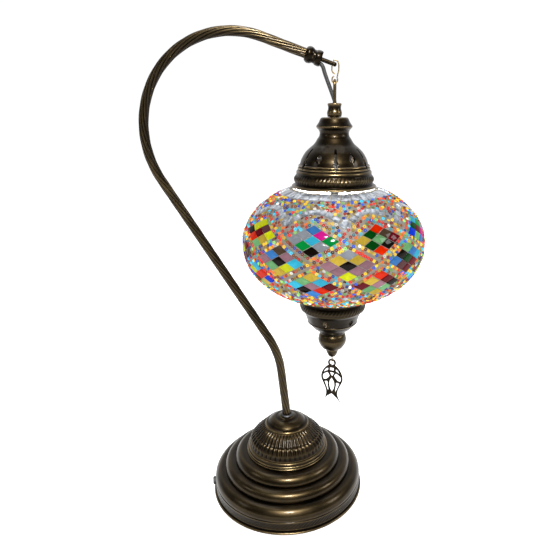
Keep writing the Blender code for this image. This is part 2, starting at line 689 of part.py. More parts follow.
# The cap's outline and inside, drawn for a cap of CAP_DRAWN and stretched to the sizes above
CAP_DRAWN = (40.4, 63.4)
CAP_OUTLINE = (
    (11.6, 0.2), (13.4, 2.0), (16.4, 7.2), (16.2, 9.0), (14.0, 12.6), (13.7, 15.2), (15.6, 19.0), (18.6, 23.6),
    (22.7, 27.2), (27.0, 31.4), (30.6, 37.2), (32.6, 43.2), (34.6, 48.2), (37.2, 53.4), (38.0, 57.0),
    (37.3, 59.6), (36.9, 60.6), (40.4, 62.1), (40.4, 63.4),
)
CAP_INSIDE = (
    (10.0, 1.6), (12.4, 8.0), (12.3, 15.4), (14.4, 20.0), (17.6, 25.0), (25.4, 32.4), (29.0, 38.0),
    (33.0, 48.6), (35.4, 54.2), (35.6, 63.4),
)
cap_wide = CAP_RADIUS / CAP_DRAWN[0]
cap_tall = CAP_HEIGHT / CAP_DRAWN[1]
cap_outside = [(r * cap_wide, CAP_TOP - z * cap_tall) for r, z in CAP_OUTLINE]
cap_inside = [(r * cap_wide, CAP_TOP - z * cap_tall) for r, z in CAP_INSIDE]
top_cap = lathe(
    "top_cap",
    [(SPIGOT_RADIUS + GAP, CAP_TOP)]
    + cap_outside
    + cap_inside[::-1]
    + [(SPIGOT_RADIUS + GAP, CAP_TOP - WALL)],
    bronze("top_cap"),
    26,
    PLUMB,
)
SLOT = [(-1.0, 0.0), (-1.0, -7.5), (-2.4, -12.0), (0.0, -18.3), (2.4, -12.0), (1.0, -7.5), (1.0, 0.0), (0.0, 1.0)]
DIAMOND = [(0.0, 5.2), (-3.5, 0.0), (0.0, -5.2), (3.5, 0.0)]


def window_cutter(name, outline, height, azimuths, reach):
    """Prisms with one outline that stand out radially at each azimuth."""
    shape = bmesh.new()
    for azimuth in azimuths:
        turn = Matrix.Rotation(math.radians(azimuth), 3, "Z")
        rings = [
            [shape.verts.new(turn @ Vector((r, u, height + v)) * MM) for u, v in outline] for r in reach
        ]
        count = len(outline)
        for i in range(count):
            j = (i + 1) % count
            shape.faces.new((rings[0][i], rings[0][j], rings[1][j], rings[1][i]))
        shape.faces.new(rings[0][::-1])
        shape.faces.new(rings[1])
    bmesh.ops.recalc_face_normals(shape, faces=shape.faces)
    mesh = bpy.data.meshes.new(name)
    shape.to_mesh(mesh)
    shape.free()
    return place(name, mesh, None, PLUMB, cutter=True)


slot_azimuths = [-89.0 + 60.0 * i for i in range(6)]
diamond_azimuths = [-59.0 + 60.0 * i for i in range(6)]
slots_z = CAP_TOP - 28.2 * cap_tall
diamonds_z = CAP_TOP - 36.0 * cap_tall
cutter_reach = CAP_RADIUS + 3.6
subtract(top_cap, window_cutter("cap_slots", SLOT, slots_z, slot_azimuths, (14.0, cutter_reach)))
subtract(top_cap, window_cutter("cap_diamonds", DIAMOND, diamonds_z, diamond_azimuths, (15.0, cutter_reach)))

grip_nut_high = CAP_TOP - WALL - GAP
hex_nut("grip_nut", 14.0, grip_nut_high - 4.0, grip_nut_high, SPIGOT_RADIUS + GAP, steel("grip_nut"), PLUMB)

holder_top = CAP_TOP - 13.6
holder_bore = SPIGOT_RADIUS + GAP
lathe(
    "lampholder",
    [(0.0, holder_top - 7.4), (holder_bore, holder_top - 7.4), (holder_bore, holder_top), (8.5, holder_top),
     (8.5, holder_top - 9.0), (12.5, holder_top - 13.5), (17.2, holder_top - 19.0), (17.2, holder_top - 48.0), (14.3, holder_top - 48.0),
     (14.3, holder_top - 25.0), (0.0, holder_top - 25.0)],
    material("lampholder", (0.03, 0.03, 0.03), 0.0, 0.45),
    24,
    PLUMB,
)
wire(
    "lamp_lead",
    [(0.0, 0.0, GRIP_TOP - 1.6), (0.0, 0.0, spigot_foot - 0.3)],
    CABLE_RADIUS,
    material("lamp_lead", cable_black, 0.0, 0.45),
    at=PLUMB,
)
socket_floor = holder_top - 25.0
contact = socket_floor - GAP
lathe(
    "bulb_base",
    [(0.0, contact), (4.6, contact), (6.2, contact - 2.2), (13.0, contact - 5.0), (13.0, contact - 22.0),
     (12.0, contact - 22.0), (12.0, contact - 14.0), (0.0, contact - 14.0)],
    material("bulb_base", (0.70, 0.70, 0.70), 1.0, 0.3),
    24,
    PLUMB,
)
neck_top = contact - 14.0 - GAP
bulb_z = neck_top - 64.0
BULB_LOW = ((0.98, -0.20), (0.87, -0.50), (0.66, -0.75), (0.38, -0.93), (0.0, -1.0))
lathe(
    "bulb_glass",
    [(0.0, neck_top), (11.7, neck_top), (11.7, neck_top - 9.0), (13.2, neck_top - 20.0),
     (0.66 * BULB_RADIUS, neck_top - 34.0), (0.90 * BULB_RADIUS, neck_top - 50.0), (BULB_RADIUS, bulb_z)]
    + [(r * BULB_RADIUS, bulb_z + z * BULB_RADIUS) for r, z in BULB_LOW],
    material("bulb_glass", (0.95, 0.93, 0.88), 0.0, 0.3, 0.2),
    24,
    PLUMB,
)

# Three spring clips on the cap's inside wall reach under the lip of the glass
lip_low = GLOBE_Z + globe_height(TOP_OPENING, GLOBE_RADIUS - SKIN_THICK - GAP - GLASS_THICK,
                                 GLOBE_HALF_HEIGHT - SKIN_THICK - GAP - GLASS_THICK)
clip_line = [(TOP_OPENING - 4.7, lip_low + 15.0), (TOP_OPENING - 4.7, lip_low + 3.0),
             (TOP_OPENING - 2.7, lip_low - 0.4), (TOP_OPENING + 0.1, lip_low - 3.4),
             (TOP_OPENING - 1.9, lip_low - 6.6)]
clip_back = [(r - 0.9, z) for r, z in clip_line[::-1]]
clip = sheet("cap_clip", [clip_line + clip_back], 4.0, steel("cap_clip"))
clip.rotation_euler = (math.pi / 2.0, 0.0, 0.0)
clip = as_mesh(clip)
clip.data.transform(clip.matrix_world)
clip.matrix_world = Matrix.Identity(4)
shift = Matrix.Translation((HANG_X * MM, 0.0, 0.0))
copies(clip, [shift @ Matrix.Rotation(math.radians(30.0 + 120.0 * i), 4, "Z") for i in range(3)])

# ---------------------------------------------------------------- globe and its mosaic skin

glass_inset = SKIN_THICK + GAP
lathe(
    "glass_globe",
    globe_arc(glass_inset, TOP_OPENING, BOTTOM_OPENING)
    + globe_arc(glass_inset + GLASS_THICK, TOP_OPENING, BOTTOM_OPENING)[::-1],
    material("glass_globe", (0.92, 0.93, 0.92), 0.0, 0.15, 1.0),
    ROUND,
    PLUMB,
)
lathe(
    "mosaic_skin",
    globe_arc(0.0, SKIN_TOP, SKIN_BOTTOM) + globe_arc(SKIN_THICK, SKIN_TOP, SKIN_BOTTOM)[::-1],
    material("mosaic_skin", (0.75, 0.42, 0.25), 0.0, 0.4, 0.3),
    ROUND,
    PLUMB,
)

# ---------------------------------------------------------------- lower cap, tie rod, finial

# The lower cap's outline and inside, drawn for a cap of LOWER_DRAWN and stretched to the sizes above
LOWER_DRAWN = (36.0, 40.6)
LOWER_OUTLINE = (
    (36.0, 0.0), (36.0, 1.3), (33.0, 2.4), (32.4, 4.4), (33.2, 7.0), (32.9, 11.6), (31.2, 14.4), (29.2, 17.0),
    (27.6, 21.0), (26.4, 24.6), (24.8, 28.0), (21.8, 32.4), (16.4, 37.0), (13.4, 40.6),
)
LOWER_INSIDE = (
    (31.0, 0.0), (31.0, 11.0), (27.6, 16.6), (25.0, 24.0), (20.4, 31.6), (14.6, 36.4), (9.0, 38.8),
)
lower_wide = LOWER_CAP_RADIUS / LOWER_DRAWN[0]
lower_tall = LOWER_CAP_HEIGHT / LOWER_DRAWN[1]
lower_outside = [(r * lower_wide, LOWER_FLANGE_Z - z * lower_tall) for r, z in LOWER_OUTLINE]
lower_inside = [(r * lower_wide, LOWER_FLANGE_Z - z * lower_tall) for r, z in LOWER_INSIDE]
TIE_RADIUS = 2.5
tie_hole = TIE_RADIUS + GAP
lower_cap = lathe(
    "lower_cap",
    lower_outside
    + [(tie_hole, lower_outside[-1][1]), (tie_hole, lower_inside[-1][1])]
    + lower_inside[::-1],
    bronze("lower_cap"),
    26,
    PLUMB,
)
lower_azimuths = [-108.0 + 60.0 * i for i in range(6)]
lower_diamond = [(0.0, 4.2), (-3.0, 0.0), (0.0, -4.2), (3.0, 0.0)]
lower_diamonds_z = LOWER_FLANGE_Z - 23.0 * lower_tall
lower_reach = LOWER_CAP_RADIUS + 4.0
subtract(lower_cap, window_cutter("lower_diamonds", lower_diamond, lower_diamonds_z, lower_azimuths,
                                  (14.0, lower_reach)))

inner_wide = GLOBE_RADIUS - glass_inset - GLASS_THICK
inner_high = GLOBE_HALF_HEIGHT - glass_inset - GLASS_THICK
bar_half = BOTTOM_OPENING + 4.0
bar_low = GLOBE_Z - globe_height(bar_half + 0.6, inner_wide, inner_high) + 2.5 * GAP
bar_thick = 2.0
bar = sheet("bridge_bar", [[(-bar_half, -6.0), (bar_half, -6.0), (bar_half, 6.0), (-bar_half, 6.0)]],
            bar_thick / 2.0, steel("bridge_bar"), (HANG_X, 0.0, bar_low + bar_thick / 2.0))
bar = as_mesh(bar)
subtract(bar, rod("bar_hole", (HANG_X, 0.0, bar_low - 4.0), (HANG_X, 0.0, bar_low + 6.0), tie_hole))
nut_low = bar_low + bar_thick + GAP
hex_nut("bridge_nut", 8.0, nut_low, nut_low + 4.0, tie_hole, steel("bridge_nut"), PLUMB)
tie_foot = CONE_TOP - 3.6
lathe(
    "tie_rod",
    [(0.0, nut_low + 5.5), (TIE_RADIUS, nut_low + 5.2), (TIE_RADIUS, tie_foot), (0.0, tie_foot)],
    steel("tie_rod"),
    12,
    PLUMB,
)

knob_parts = ((9.6, 0.0), (12.9, 0.075), (14.4, 0.280), (14.7, 0.425), (14.4, 0.548), (12.6, 0.785),
              (10.4, 0.935), (7.2, 1.0))  # radius, and share of the height
lathe(
    "finial_knob",
    [(tie_hole, KNOB_TOP)] + [(r, KNOB_TOP - z * KNOB_HEIGHT) for r, z in knob_parts] + [(tie_hole, KNOB_TOP - KNOB_HEIGHT)],
    bronze("finial_knob"),
    24,
    PLUMB,
)
lathe(
    "finial_cone",
    [(0.0, tie_foot - GAP), (tie_hole, tie_foot - GAP), (tie_hole, CONE_TOP), (6.6, CONE_TOP), (6.4, CONE_TOP - 2.2),
     (5.7, CONE_TOP - 4.6), (4.6, CONE_TOP - 7.0), (2.6, CONE_FOOT), (0.95, CONE_FOOT), (0.95, tie_foot - 1.2),
     (0.0, tie_foot - 1.2)],
    bronze("finial_cone"),
    SMALL,
    PLUMB,
)
eye_path = [(0.0, 0.0, tie_foot - 1.8), (0.0, 0.0, EYE_Z + EYE_RADIUS + 0.3)]
for step in range(14):
    a = math.radians(70.0 - 292.0 * step / 13.0)
    eye_path.append((0.0, EYE_RADIUS * math.cos(a), EYE_Z + EYE_RADIUS * math.sin(a)))
wire("finial_eye", eye_path, EYE_WIRE, bronze("finial_eye"), at=PLUMB)

# ---------------------------------------------------------------- tulip

ring_drop = -(TULIP_RING_IN - EYE_WIRE - GAP)  # the ring's centre hangs below the eye's wire
ring_arc = [math.radians(a) for a in range(-52, 234, 19)]
ring_outer = [(TULIP_RING_OUT * math.cos(a), ring_drop + TULIP_RING_OUT * math.sin(a)) for a in ring_arc]
half = bezier((3.4, -5.2), (8.6, -8.0), (12.4, -15.0), (12.0, -20.5), 8)
half += bezier((12.0, -20.5), (11.4, -27.0), (1.6, -36.0), (8.6, -46.6), 10)
half += bezier((8.6, -46.6), (5.6, -42.6), (2.2, -40.2), (0.0, -38.8), 6)
mirrored = [(-x, y) for x, y in half]
tulip_outline = ring_outer + mirrored + [(0.0, -38.8)] + half[::-1]
almond = bezier((0.0, -19.8), (4.6, -24.5), (4.0, -31.5), (0.0, -36.8), 7)
almond += bezier((0.0, -36.8), (-4.0, -31.5), (-4.6, -24.5), (0.0, -19.8), 7)
top_window = [(-2.2, -7.6), (2.2, -7.6), (2.7, -11.6), (-2.7, -11.6)]
middle_window = [(0.0, -13.2), (2.8, -13.5), (1.2, -17.0), (0.0, -18.2), (-1.2, -17.0), (-2.8, -13.5)]
side_windows = [
    [(3.9, -8.3), (6.6, -9.7), (9.2, -13.6), (9.6, -15.2), (6.9, -13.1), (4.3, -12.0)],
    [(4.5, -13.8), (7.0, -14.8), (10.2, -17.4), (10.6, -20.8), (9.4, -23.8), (6.4, -22.9), (3.7, -20.0),
     (2.3, -17.6)],
    [(8.9, -25.4), (6.7, -31.0), (4.9, -35.6), (3.9, -37.6), (3.6, -34.0), (4.5, -29.0), (4.6, -24.9),
     (6.2, -24.6)],
]
side_windows += [[(-x, y) for x, y in window] for window in side_windows]
ring_hole = [
    (TULIP_RING_IN * math.cos(a), ring_drop + TULIP_RING_IN * math.sin(a))
    for a in (math.tau * i / 16 for i in range(16))
]
tulip = sheet(
    "tulip_pendant",
    [tulip_outline, ring_hole, almond, top_window, middle_window] + side_windows,
    TULIP_THICK / 2.0,
    bronze("tulip_pendant"),
    (HANG_X, 0.0, TULIP_Z),
)
tulip.rotation_euler = (math.pi / 2.0, 0.0, TULIP_YAW)

# ---------------------------------------------------------------- pivots of the pieces that swing

def hang_on(name, place_of_pivot, pieces):
    """Parent pieces to an empty that stands on their joint's axis, and leave them where they are."""
    pivot = bpy.data.objects.new(name, None)
    LAMP.objects.link(pivot)
    pivot.location = Vector(place_of_pivot) * MM
    bpy.context.view_layer.update()
    for piece in pieces:
        piece.parent = pivot
        piece.matrix_parent_inverse = pivot.matrix_world.inverted()
    return pivot


SHADE = (
    "hanging_loop", "cord_grip", "grip_nut", "top_cap", "cap_clip_1", "cap_clip_2", "cap_clip_3", "lampholder",
    "lamp_lead", "bulb_base", "bulb_glass", "glass_globe", "mosaic_skin", "lower_cap", "bridge_bar", "bridge_nut",
    "tie_rod", "finial_knob", "finial_cone", "finial_eye",
)
hang_on("hook_pivot", (HANG_X, 0.0, HOOK_PIVOT_Z), [bpy.data.objects["s_hook"]])
hang_on("shade_pivot", (HANG_X, 0.0, HANG_Z), [bpy.data.objects[name] for name in SHADE])
hang_on("tulip_pivot", (HANG_X, 0.0, TULIP_Z), [tulip])
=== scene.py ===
"""Swan-neck table lamp with a hanging mosaic glass globe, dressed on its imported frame.

Sizes are in millimetres until a mesh is made. The stand's axis is the Z axis, and the neck and the plumb line
of everything that hangs from it lie in the plane Y = 0.
"""

import math
import random

import bmesh
import bpy
import numpy as np
from mathutils import Matrix, Vector
from mathutils.geometry import interpolate_bezier


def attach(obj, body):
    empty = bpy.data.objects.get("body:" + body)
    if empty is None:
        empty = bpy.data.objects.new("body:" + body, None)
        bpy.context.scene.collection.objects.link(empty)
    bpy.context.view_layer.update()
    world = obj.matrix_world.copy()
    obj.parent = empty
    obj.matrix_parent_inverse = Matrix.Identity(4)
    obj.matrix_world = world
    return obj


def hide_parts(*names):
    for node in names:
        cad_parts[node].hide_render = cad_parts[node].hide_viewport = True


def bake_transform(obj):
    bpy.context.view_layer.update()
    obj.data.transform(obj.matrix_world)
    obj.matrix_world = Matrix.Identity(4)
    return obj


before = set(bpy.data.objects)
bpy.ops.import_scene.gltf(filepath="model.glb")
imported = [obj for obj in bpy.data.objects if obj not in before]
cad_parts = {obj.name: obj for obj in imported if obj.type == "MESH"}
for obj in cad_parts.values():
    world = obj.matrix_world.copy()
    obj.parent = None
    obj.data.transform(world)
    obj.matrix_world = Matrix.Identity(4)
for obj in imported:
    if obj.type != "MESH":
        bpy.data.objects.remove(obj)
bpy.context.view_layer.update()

# ------------------------ the studio
# A pale floor that runs out of sight, a bright wall of light behind the lamp, and soft lamps in front of it.
# The camera stands a little above the lamp's middle and looks slightly down on the base.

MM = 0.001
scene = bpy.context.scene
scene.view_settings.view_transform = "Standard"

camera = bpy.data.objects.new("camera", bpy.data.cameras.new("camera"))
camera.location = (0.033165, -0.496159, 0.407063)
camera.rotation_euler = (math.pi / 2.0 - 0.3084, 0.0, 0.0)
camera.data.sensor_width = 36.0
camera.data.lens = 33.69
camera.data.shift_x = -0.07595
camera.data.clip_start = 0.01
scene.collection.objects.link(camera)
scene.camera = camera


class Value:
    """A socket of a finish's nodes. Sums and products of values add the Math nodes that work them out."""

    def __init__(self, tree, socket=None):
        self.tree = tree
        self.socket = socket

    def node(self, kind, settings, sockets, out=0):
        """A node of any kind: its settings first, then the values or links of its sockets."""
        made = self.tree.nodes.new(kind)
        for name, setting in settings.items():
            if name == "stops":
                ramp = made.color_ramp
                while len(ramp.elements) < len(setting):
                    ramp.elements.new(1.0)
                for element, (position, colour) in zip(ramp.elements, setting):
                    element.position = position
                    element.color = (*colour, 1.0)
            else:
                setattr(made, name, setting)
        for name, value in sockets.items():
            if isinstance(value, Value):
                self.tree.links.new(value.socket, made.inputs[name])
            else:
                made.inputs[name].default_value = value
        return Value(self.tree, made.outputs[out])

    def maths(self, operation, *values, clamp=False):
        """A Math node on numbers and values."""
        settings = {"operation": operation, "use_clamp": clamp}
        return self.node("ShaderNodeMath", settings, dict(enumerate(values)))

    def __add__(self, other):
        return self.maths("ADD", self, other)

    def __radd__(self, other):
        return self.maths("ADD", other, self)

    def __sub__(self, other):
        return self.maths("SUBTRACT", self, other)

    def __rsub__(self, other):
        return self.maths("SUBTRACT", other, self)

    def __mul__(self, other):
        return self.maths("MULTIPLY", self, other)

    def __rmul__(self, other):
        return self.maths("MULTIPLY", other, self)

    def __truediv__(self, other):
        return self.maths("DIVIDE", self, other)

    def held(self):
        """The value kept between 0 and 1."""
        return self.maths("ADD", self, 0.0, clamp=True)

    def between(self, first, second):
        """The colour that lies this share of the way from the first to the second."""
        return self.node("ShaderNodeMix", {"data_type": "RGBA"}, {0: self, 6: first, 7: second}, 2)


def linear(red, green, blue):
    """A paint chip's red, green and blue, out of 255, as light."""
    return tuple((c / 255.0) ** 2.2 for c in (red, green, blue)) + (1.0,)


def finish(name, settings):
    """A new material with the shader's plain settings, its shader, and the place its patterns start from."""
    made = bpy.data.materials.new(name)
    made.use_nodes = True
    shader = made.node_tree.nodes["Principled BSDF"]
    for socket, value in settings.items():
        shader.inputs[socket].default_value = value
    place = Value(made.node_tree).node("ShaderNodeTexCoord", {}, {}, "Object")
    return made, shader, place


def lay_on(shader, socket, value):
    """Feed a pattern into one of the shader's sockets."""
    value.tree.links.new(value.socket, shader.inputs[socket])


def roughen(shader, height, strength, distance):
    """Raise and sink the surface a little by a pattern, in metres."""
    settings = {"Height": height, "Strength": strength, "Distance": distance}
    lay_on(shader, "Normal", height.node("ShaderNodeBump", {}, settings))


world = bpy.data.worlds.new("studio")
world.use_nodes = True
scene.world = world
sky = Value(world.node_tree)
direction = sky.node("ShaderNodeTexCoord", {}, {}, "Generated")
to_the_back = direction.node("ShaderNodeSeparateXYZ", {}, {0: direction}, "Y") * 0.5 + 0.5
behind = to_the_back.node(
    "ShaderNodeValToRGB",
    {"stops": [
        (0.0, (0.03, 0.03, 0.03)), (0.52, (0.05, 0.05, 0.05)), (0.70, (0.45, 0.45, 0.46)), (0.80,
        (1.03, 1.03, 1.04)),
    ]},
    {0: to_the_back},
)
backdrop = world.node_tree.nodes["Background"]
world.node_tree.links.new(behind.socket, backdrop.inputs["Color"])
backdrop.inputs["Strength"].default_value = 1.0


def softbox(name, location, target, size, power, colour=(1.0, 1.0, 1.0)):
    """A square lamp that points at a target."""
    lamp = bpy.data.objects.new(name, bpy.data.lights.new(name, "AREA"))
    lamp.data.shape = "SQUARE"
    lamp.data.size = size
    lamp.data.energy = power
    lamp.data.color = colour
    lamp.location = location
    lamp.rotation_euler = (Vector(target) - Vector(location)).to_track_quat("-Z", "Y").to_euler()
    scene.collection.objects.link(lamp)
    return lamp


softbox("key", (0.08, -0.95, 1.15), (0.0, 0.0, 0.15), 0.22, 44.0).visible_diffuse = False
softbox("front_fill", (0.2, -1.2, 1.0), (0.0, 0.0, 0.2), 0.8, 12.0).visible_glossy = False
softbox("left_fill", (-1.3, -0.5, 0.9), (0.0, 0.0, 0.2), 0.4, 2.5)
softbox("right_fill", (1.3, -0.3, 0.9), (0.0, 0.0, 0.2), 0.4, 8.0)
softbox("top", (0.0, 0.5, 1.9), (0.0, 0.1, 0.0), 1.4, 22.0)

shape = bmesh.new()
bmesh.ops.create_grid(shape, x_segments=8, y_segments=8, size=4.0)
floor_mesh = bpy.data.meshes.new("floor")
shape.to_mesh(floor_mesh)
shape.free()
floor = bpy.data.objects.new("floor", floor_mesh)
scene.collection.objects.link(floor)
pale, shader, place = finish(
    "pale_floor",
    {"Roughness": 0.9, "Specular IOR Level": 0.1, "Emission Color": (1.0, 1.0, 1.0, 1.0),
    "Emission Strength": 0.78},
)
speck = place.node("ShaderNodeTexNoise", {}, {"Scale": 6.0, "Detail": 3.0})
lay_on(shader, "Base Color", speck.between((0.93, 0.93, 0.93, 1.0), (0.96, 0.96, 0.96, 1.0)))
pale.cycles.emission_sampling = "NONE"
floor.data.materials.append(pale)

# ------------------------ felt pad
# Black wool felt, stamped out round and glued under the base so that it doesn't scratch the table.


def coat(node, made):
    """Give a carried-over node its finish."""
    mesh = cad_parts[node].data
    mesh.materials.clear()
    mesh.materials.append(made)


felt, shader, place = finish("felt", {"Sheen Weight": 0.4, "Sheen Roughness": 0.5})
fibre = place.node("ShaderNodeTexNoise", {}, {"Vector": place, "Scale": 900.0, "Detail": 5.0})
lay_on(shader, "Base Color", fibre.between((0.006, 0.006, 0.007, 1.0), (0.035, 0.034, 0.036, 1.0)))
lay_on(shader, "Roughness", 0.86 + fibre * 0.12)
roughen(shader, fibre, 0.6, 0.0004)
coat("felt_pad", felt)

# ------------------------ bottom plate and screws
# Pressed sheet steel with dull zinc plating, held up against the ballast by three countersunk screws.
# The same plating is on the washer and nuts of the neck, the cord saddle and the shade's inner hardware.

zinc, shader, place = finish("zinc_plate", {"Metallic": 1.0})
spangle = place.node("ShaderNodeTexVoronoi", {}, {"Vector": place, "Scale": 260.0}, "Distance")
smear = place.node("ShaderNodeTexNoise", {}, {"Vector": place, "Scale": 90.0, "Detail": 4.0})
bloom = (spangle * 0.6 + smear * 0.5).held()
lay_on(shader, "Base Color", bloom.between((0.34, 0.35, 0.36, 1.0), (0.62, 0.63, 0.62, 1.0)))
lay_on(shader, "Roughness", 0.26 + smear * 0.25)
for node in (
    "bottom_plate", "plate_screw_1", "plate_screw_2", "plate_screw_3", "neck_jam_nut", "neck_washer"
):
    coat(node, zinc)
for node in ("neck_lock_nut", "cord_saddle", "saddle_screw_1", "saddle_screw_2", "grip_nut"):
    coat(node, zinc)
for node in ("cap_clip_1", "cap_clip_2", "cap_clip_3", "bridge_bar", "bridge_nut", "tie_rod"):
    coat(node, zinc)

# ------------------------ ballast
# A ring of sand-cast iron that keeps the lamp from tipping under the shade's overhang.

iron, shader, place = finish("cast_iron", {"Metallic": 0.7})
sand = place.node("ShaderNodeTexNoise", {}, {"Vector": place, "Scale": 420.0, "Detail": 6.0})
lay_on(shader, "Base Color", sand.between((0.03, 0.03, 0.032, 1.0), (0.13, 0.125, 0.12, 1.0)))
lay_on(shader, "Roughness", 0.6 + sand * 0.3)
roughen(shader, sand, 0.7, 0.0006)
coat("ballast", iron)

# ------------------------ base
# Spun brass, darkened and rubbed back so that the brass shows along the edges of its four rounded steps.
# A band of slanting ribs is rolled into the upright wall above the foot rim.

BASE_STEPS = 468  # four sides to each of the 117 ribs
BASE_RIBS = 117
RIB_LEAN = 2.2  # ribs that the band's top is ahead of its foot


def antique_brass(name, bright=1.0):
    """Darkened brass: black-brown in the hollows, brown on the flats, bare brass where it is rubbed."""
    made, shader, place = finish(name, {"Metallic": 1.0, "Coat Roughness": 0.12, "Coat IOR": 1.5})
    stretch = place.node("ShaderNodeMapping", {}, {"Vector": place, "Scale": (60.0, 60.0, 1400.0)})
    lathe_lines = place.node("ShaderNodeTexNoise", {}, {"Vector": stretch, "Scale": 1.0, "Detail": 3.0})
    clouds = place.node("ShaderNodeTexNoise", {}, {"Vector": place, "Scale": 48.0, "Detail": 4.0})
    grain = place.node("ShaderNodeTexNoise", {}, {"Vector": place, "Scale": 850.0, "Detail": 3.0})
    worn = place.node("ShaderNodeAttribute", {"attribute_name": "rub"}, {}, "Fac")
    flat = ((clouds - 0.32) * 1.9 + (lathe_lines - 0.5) * 0.8).held()
    dark = (0.005, 0.0036, 0.0020, 1.0)
    brown = (0.022 * bright, 0.0148 * bright, 0.0070 * bright, 1.0)
    bare = (0.21 * bright, 0.150 * bright, 0.070 * bright, 1.0)
    ground = (0.25 + flat * 0.75).between(dark, brown)
    hollow = ((0.5 - worn) * 2.6).held()
    ground = hollow.between(ground, dark)
    edge = ((worn - 0.54) * 2.4 * (0.45 + clouds + (grain - 0.5) * 0.9)).held()
    lay_on(shader, "Base Color", edge.between(ground, bare))
    lay_on(shader, "Roughness", 0.34 + flat * 0.08 + (grain - 0.5) * 0.16 - edge * 0.10)
    lay_on(shader, "Coat Weight", 0.10 - hollow * 0.09)
    roughen(shader, grain + lathe_lines, 0.25, 0.00006)
    return made


def curve_through(points, per=4):
    """A smooth run through (radius, height) points, its last point left off so that runs can follow on."""
    run = []
    for i in range(len(points) - 1):
        before = Vector(points[max(i - 1, 0)])
        first = Vector(points[i])
        last = Vector(points[i + 1])
        after = Vector(points[min(i + 2, len(points) - 1)])
        pieces = interpolate_bezier(
            first.to_3d(), (first + (last - before) / 6.0).to_3d(), (last - (after - first) / 6.0).to_3d(),
            last.to_3d(), per + 1,
        )
        run += [(p.x, p.y) for p in pieces[:-1]]
    return run


def spun(profile, steps, at=(0.0, 0.0)):
    """A closed profile of (radius, height) turned about an upright axis."""
    shape = bmesh.new()
    ring = [shape.verts.new((r * MM, 0.0, z * MM)) for r, z in profile]
    edges = [shape.edges.new(pair) for pair in zip(ring, ring[1:] + ring[:1])]
    bmesh.ops.spin(
        shape, geom=ring + edges, cent=(0.0, 0.0, 0.0), axis=(0.0, 0.0, 1.0), angle=math.tau, steps=steps,
        use_merge=True,
    )
    bmesh.ops.remove_doubles(shape, verts=shape.verts, dist=0.000004)
    bmesh.ops.recalc_face_normals(shape, faces=shape.faces)
    bmesh.ops.translate(shape, verts=shape.verts, vec=Vector((*at, 0.0)) * MM)
    return shape


def rib_band(shape, at, ribs, low, high, depth, lean):
    """Roll slanting ribs into the wall between two heights."""
    for vert in shape.verts:
        z = vert.co.z / MM
        if low < z < high:
            out = Vector((vert.co.x - at[0] * MM, vert.co.y - at[1] * MM, 0.0))
            share = (z - low) / (high - low)
            turn = math.atan2(out.y, out.x) / math.tau * ribs
            wave = 0.5 + 0.5 * math.cos(math.tau * (turn - lean * share))
            rise = min(1.0, 4.0 * share, 4.0 * (1.0 - share))
            vert.co += out.normalized() * (depth * rise * (wave ** 0.7 - 1.0)) * MM


def note_wear(shape, strength=1.6, rounds=2):
    """Note how far the metal stands out round each vertex: 0 in a hollow, a half on a flat, 1 on an edge."""
    layer = shape.verts.layers.float.new("rub")
    for vert in shape.verts:
        bend = sum(edge.calc_face_angle_signed(0.0) for edge in vert.link_edges)
        vert[layer] = min(max(0.5 + bend * strength / 4.0, 0.0), 1.0)
    for _ in range(rounds):
        found = []
        for vert in shape.verts:
            near = sum(edge.other_vert(vert)[layer] for edge in vert.link_edges)
            found.append((vert[layer] + near) / (1 + len(vert.link_edges)))
        for vert, value in zip(shape.verts, found):
            vert[layer] = value


def as_piece(name, shape, made, crease=38.0):
    """A finished mesh as an object: edges sharper than the crease stay sharp, the rest shade round."""
    for edge in shape.edges:
        edge.smooth = len(edge.link_faces) != 2 or edge.calc_face_angle(0.0) < math.radians(crease)
    for face in shape.faces:
        face.smooth = True
    mesh = bpy.data.meshes.new(name)
    shape.to_mesh(mesh)
    shape.free()
    mesh.materials.append(made)
    piece = bpy.data.objects.new(name, mesh)
    scene.collection.objects.link(piece)
    return piece


base_profile = [(4.8, 54.3), (24.0, 54.3)]
base_profile += curve_through([(38.0, 54.3), (41.4, 54.2), (42.6, 53.4), (43.0, 52.0)], 3)
base_profile += curve_through([(43.0, 51.6), (43.9, 51.2), (44.3, 50.4), (43.9, 49.6), (43.5, 49.3)], 2)
base_profile += curve_through([(43.5, 49.1), (44.5, 48.7), (44.9, 47.9), (44.6, 47.2)], 2)
base_profile += curve_through(
    [(44.6, 46.9), (48.0, 46.8), (52.65, 46.1), (55.31, 44.3), (57.2, 41.3), (57.9, 38.9), (57.6, 37.2)], 4
)
base_profile += curve_through(
    [(57.3, 36.9), (61.0, 37.0), (64.56, 36.4), (67.14, 34.8), (68.9, 32.0), (69.5, 29.2), (69.2, 27.2)], 4
)
base_profile += curve_through(
    [(68.9, 26.8), (72.4, 26.7), (75.97, 25.9), (78.64, 23.8), (80.6, 20.9), (81.4, 17.4), (81.3, 15.2)], 4
)
base_profile += [(80.9, 14.9), (80.9, 14.4), (81.4, 14.0)]
base_profile += [(81.5, 13.7 - 0.4 * i) for i in range(21)]
base_profile += [(81.4, 5.3), (80.9, 4.9), (80.9, 3.9)]
base_profile += curve_through(
    [(81.2, 3.3), (82.6, 3.1), (83.3, 2.4), (83.3, 1.5), (82.7, 0.9), (81.6, 0.8)], 3
)
base_profile += [
    (80.0, 0.82), (79.98, 15.9), (67.9, 26.4), (56.4, 36.2), (43.6, 45.9), (40.2, 52.9), (4.8, 52.9)
]


def brass_piece(name, shape, wear, rounds, stands_for, metal, bright=1.0, body="stand"):
    """A worn brass piece in place of the node that it stands for, riding on a body."""
    note_wear(shape, wear, rounds)
    piece = as_piece(name, shape, antique_brass("antique_brass_" + metal, bright))
    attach(piece, body)
    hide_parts(stands_for)
    return piece


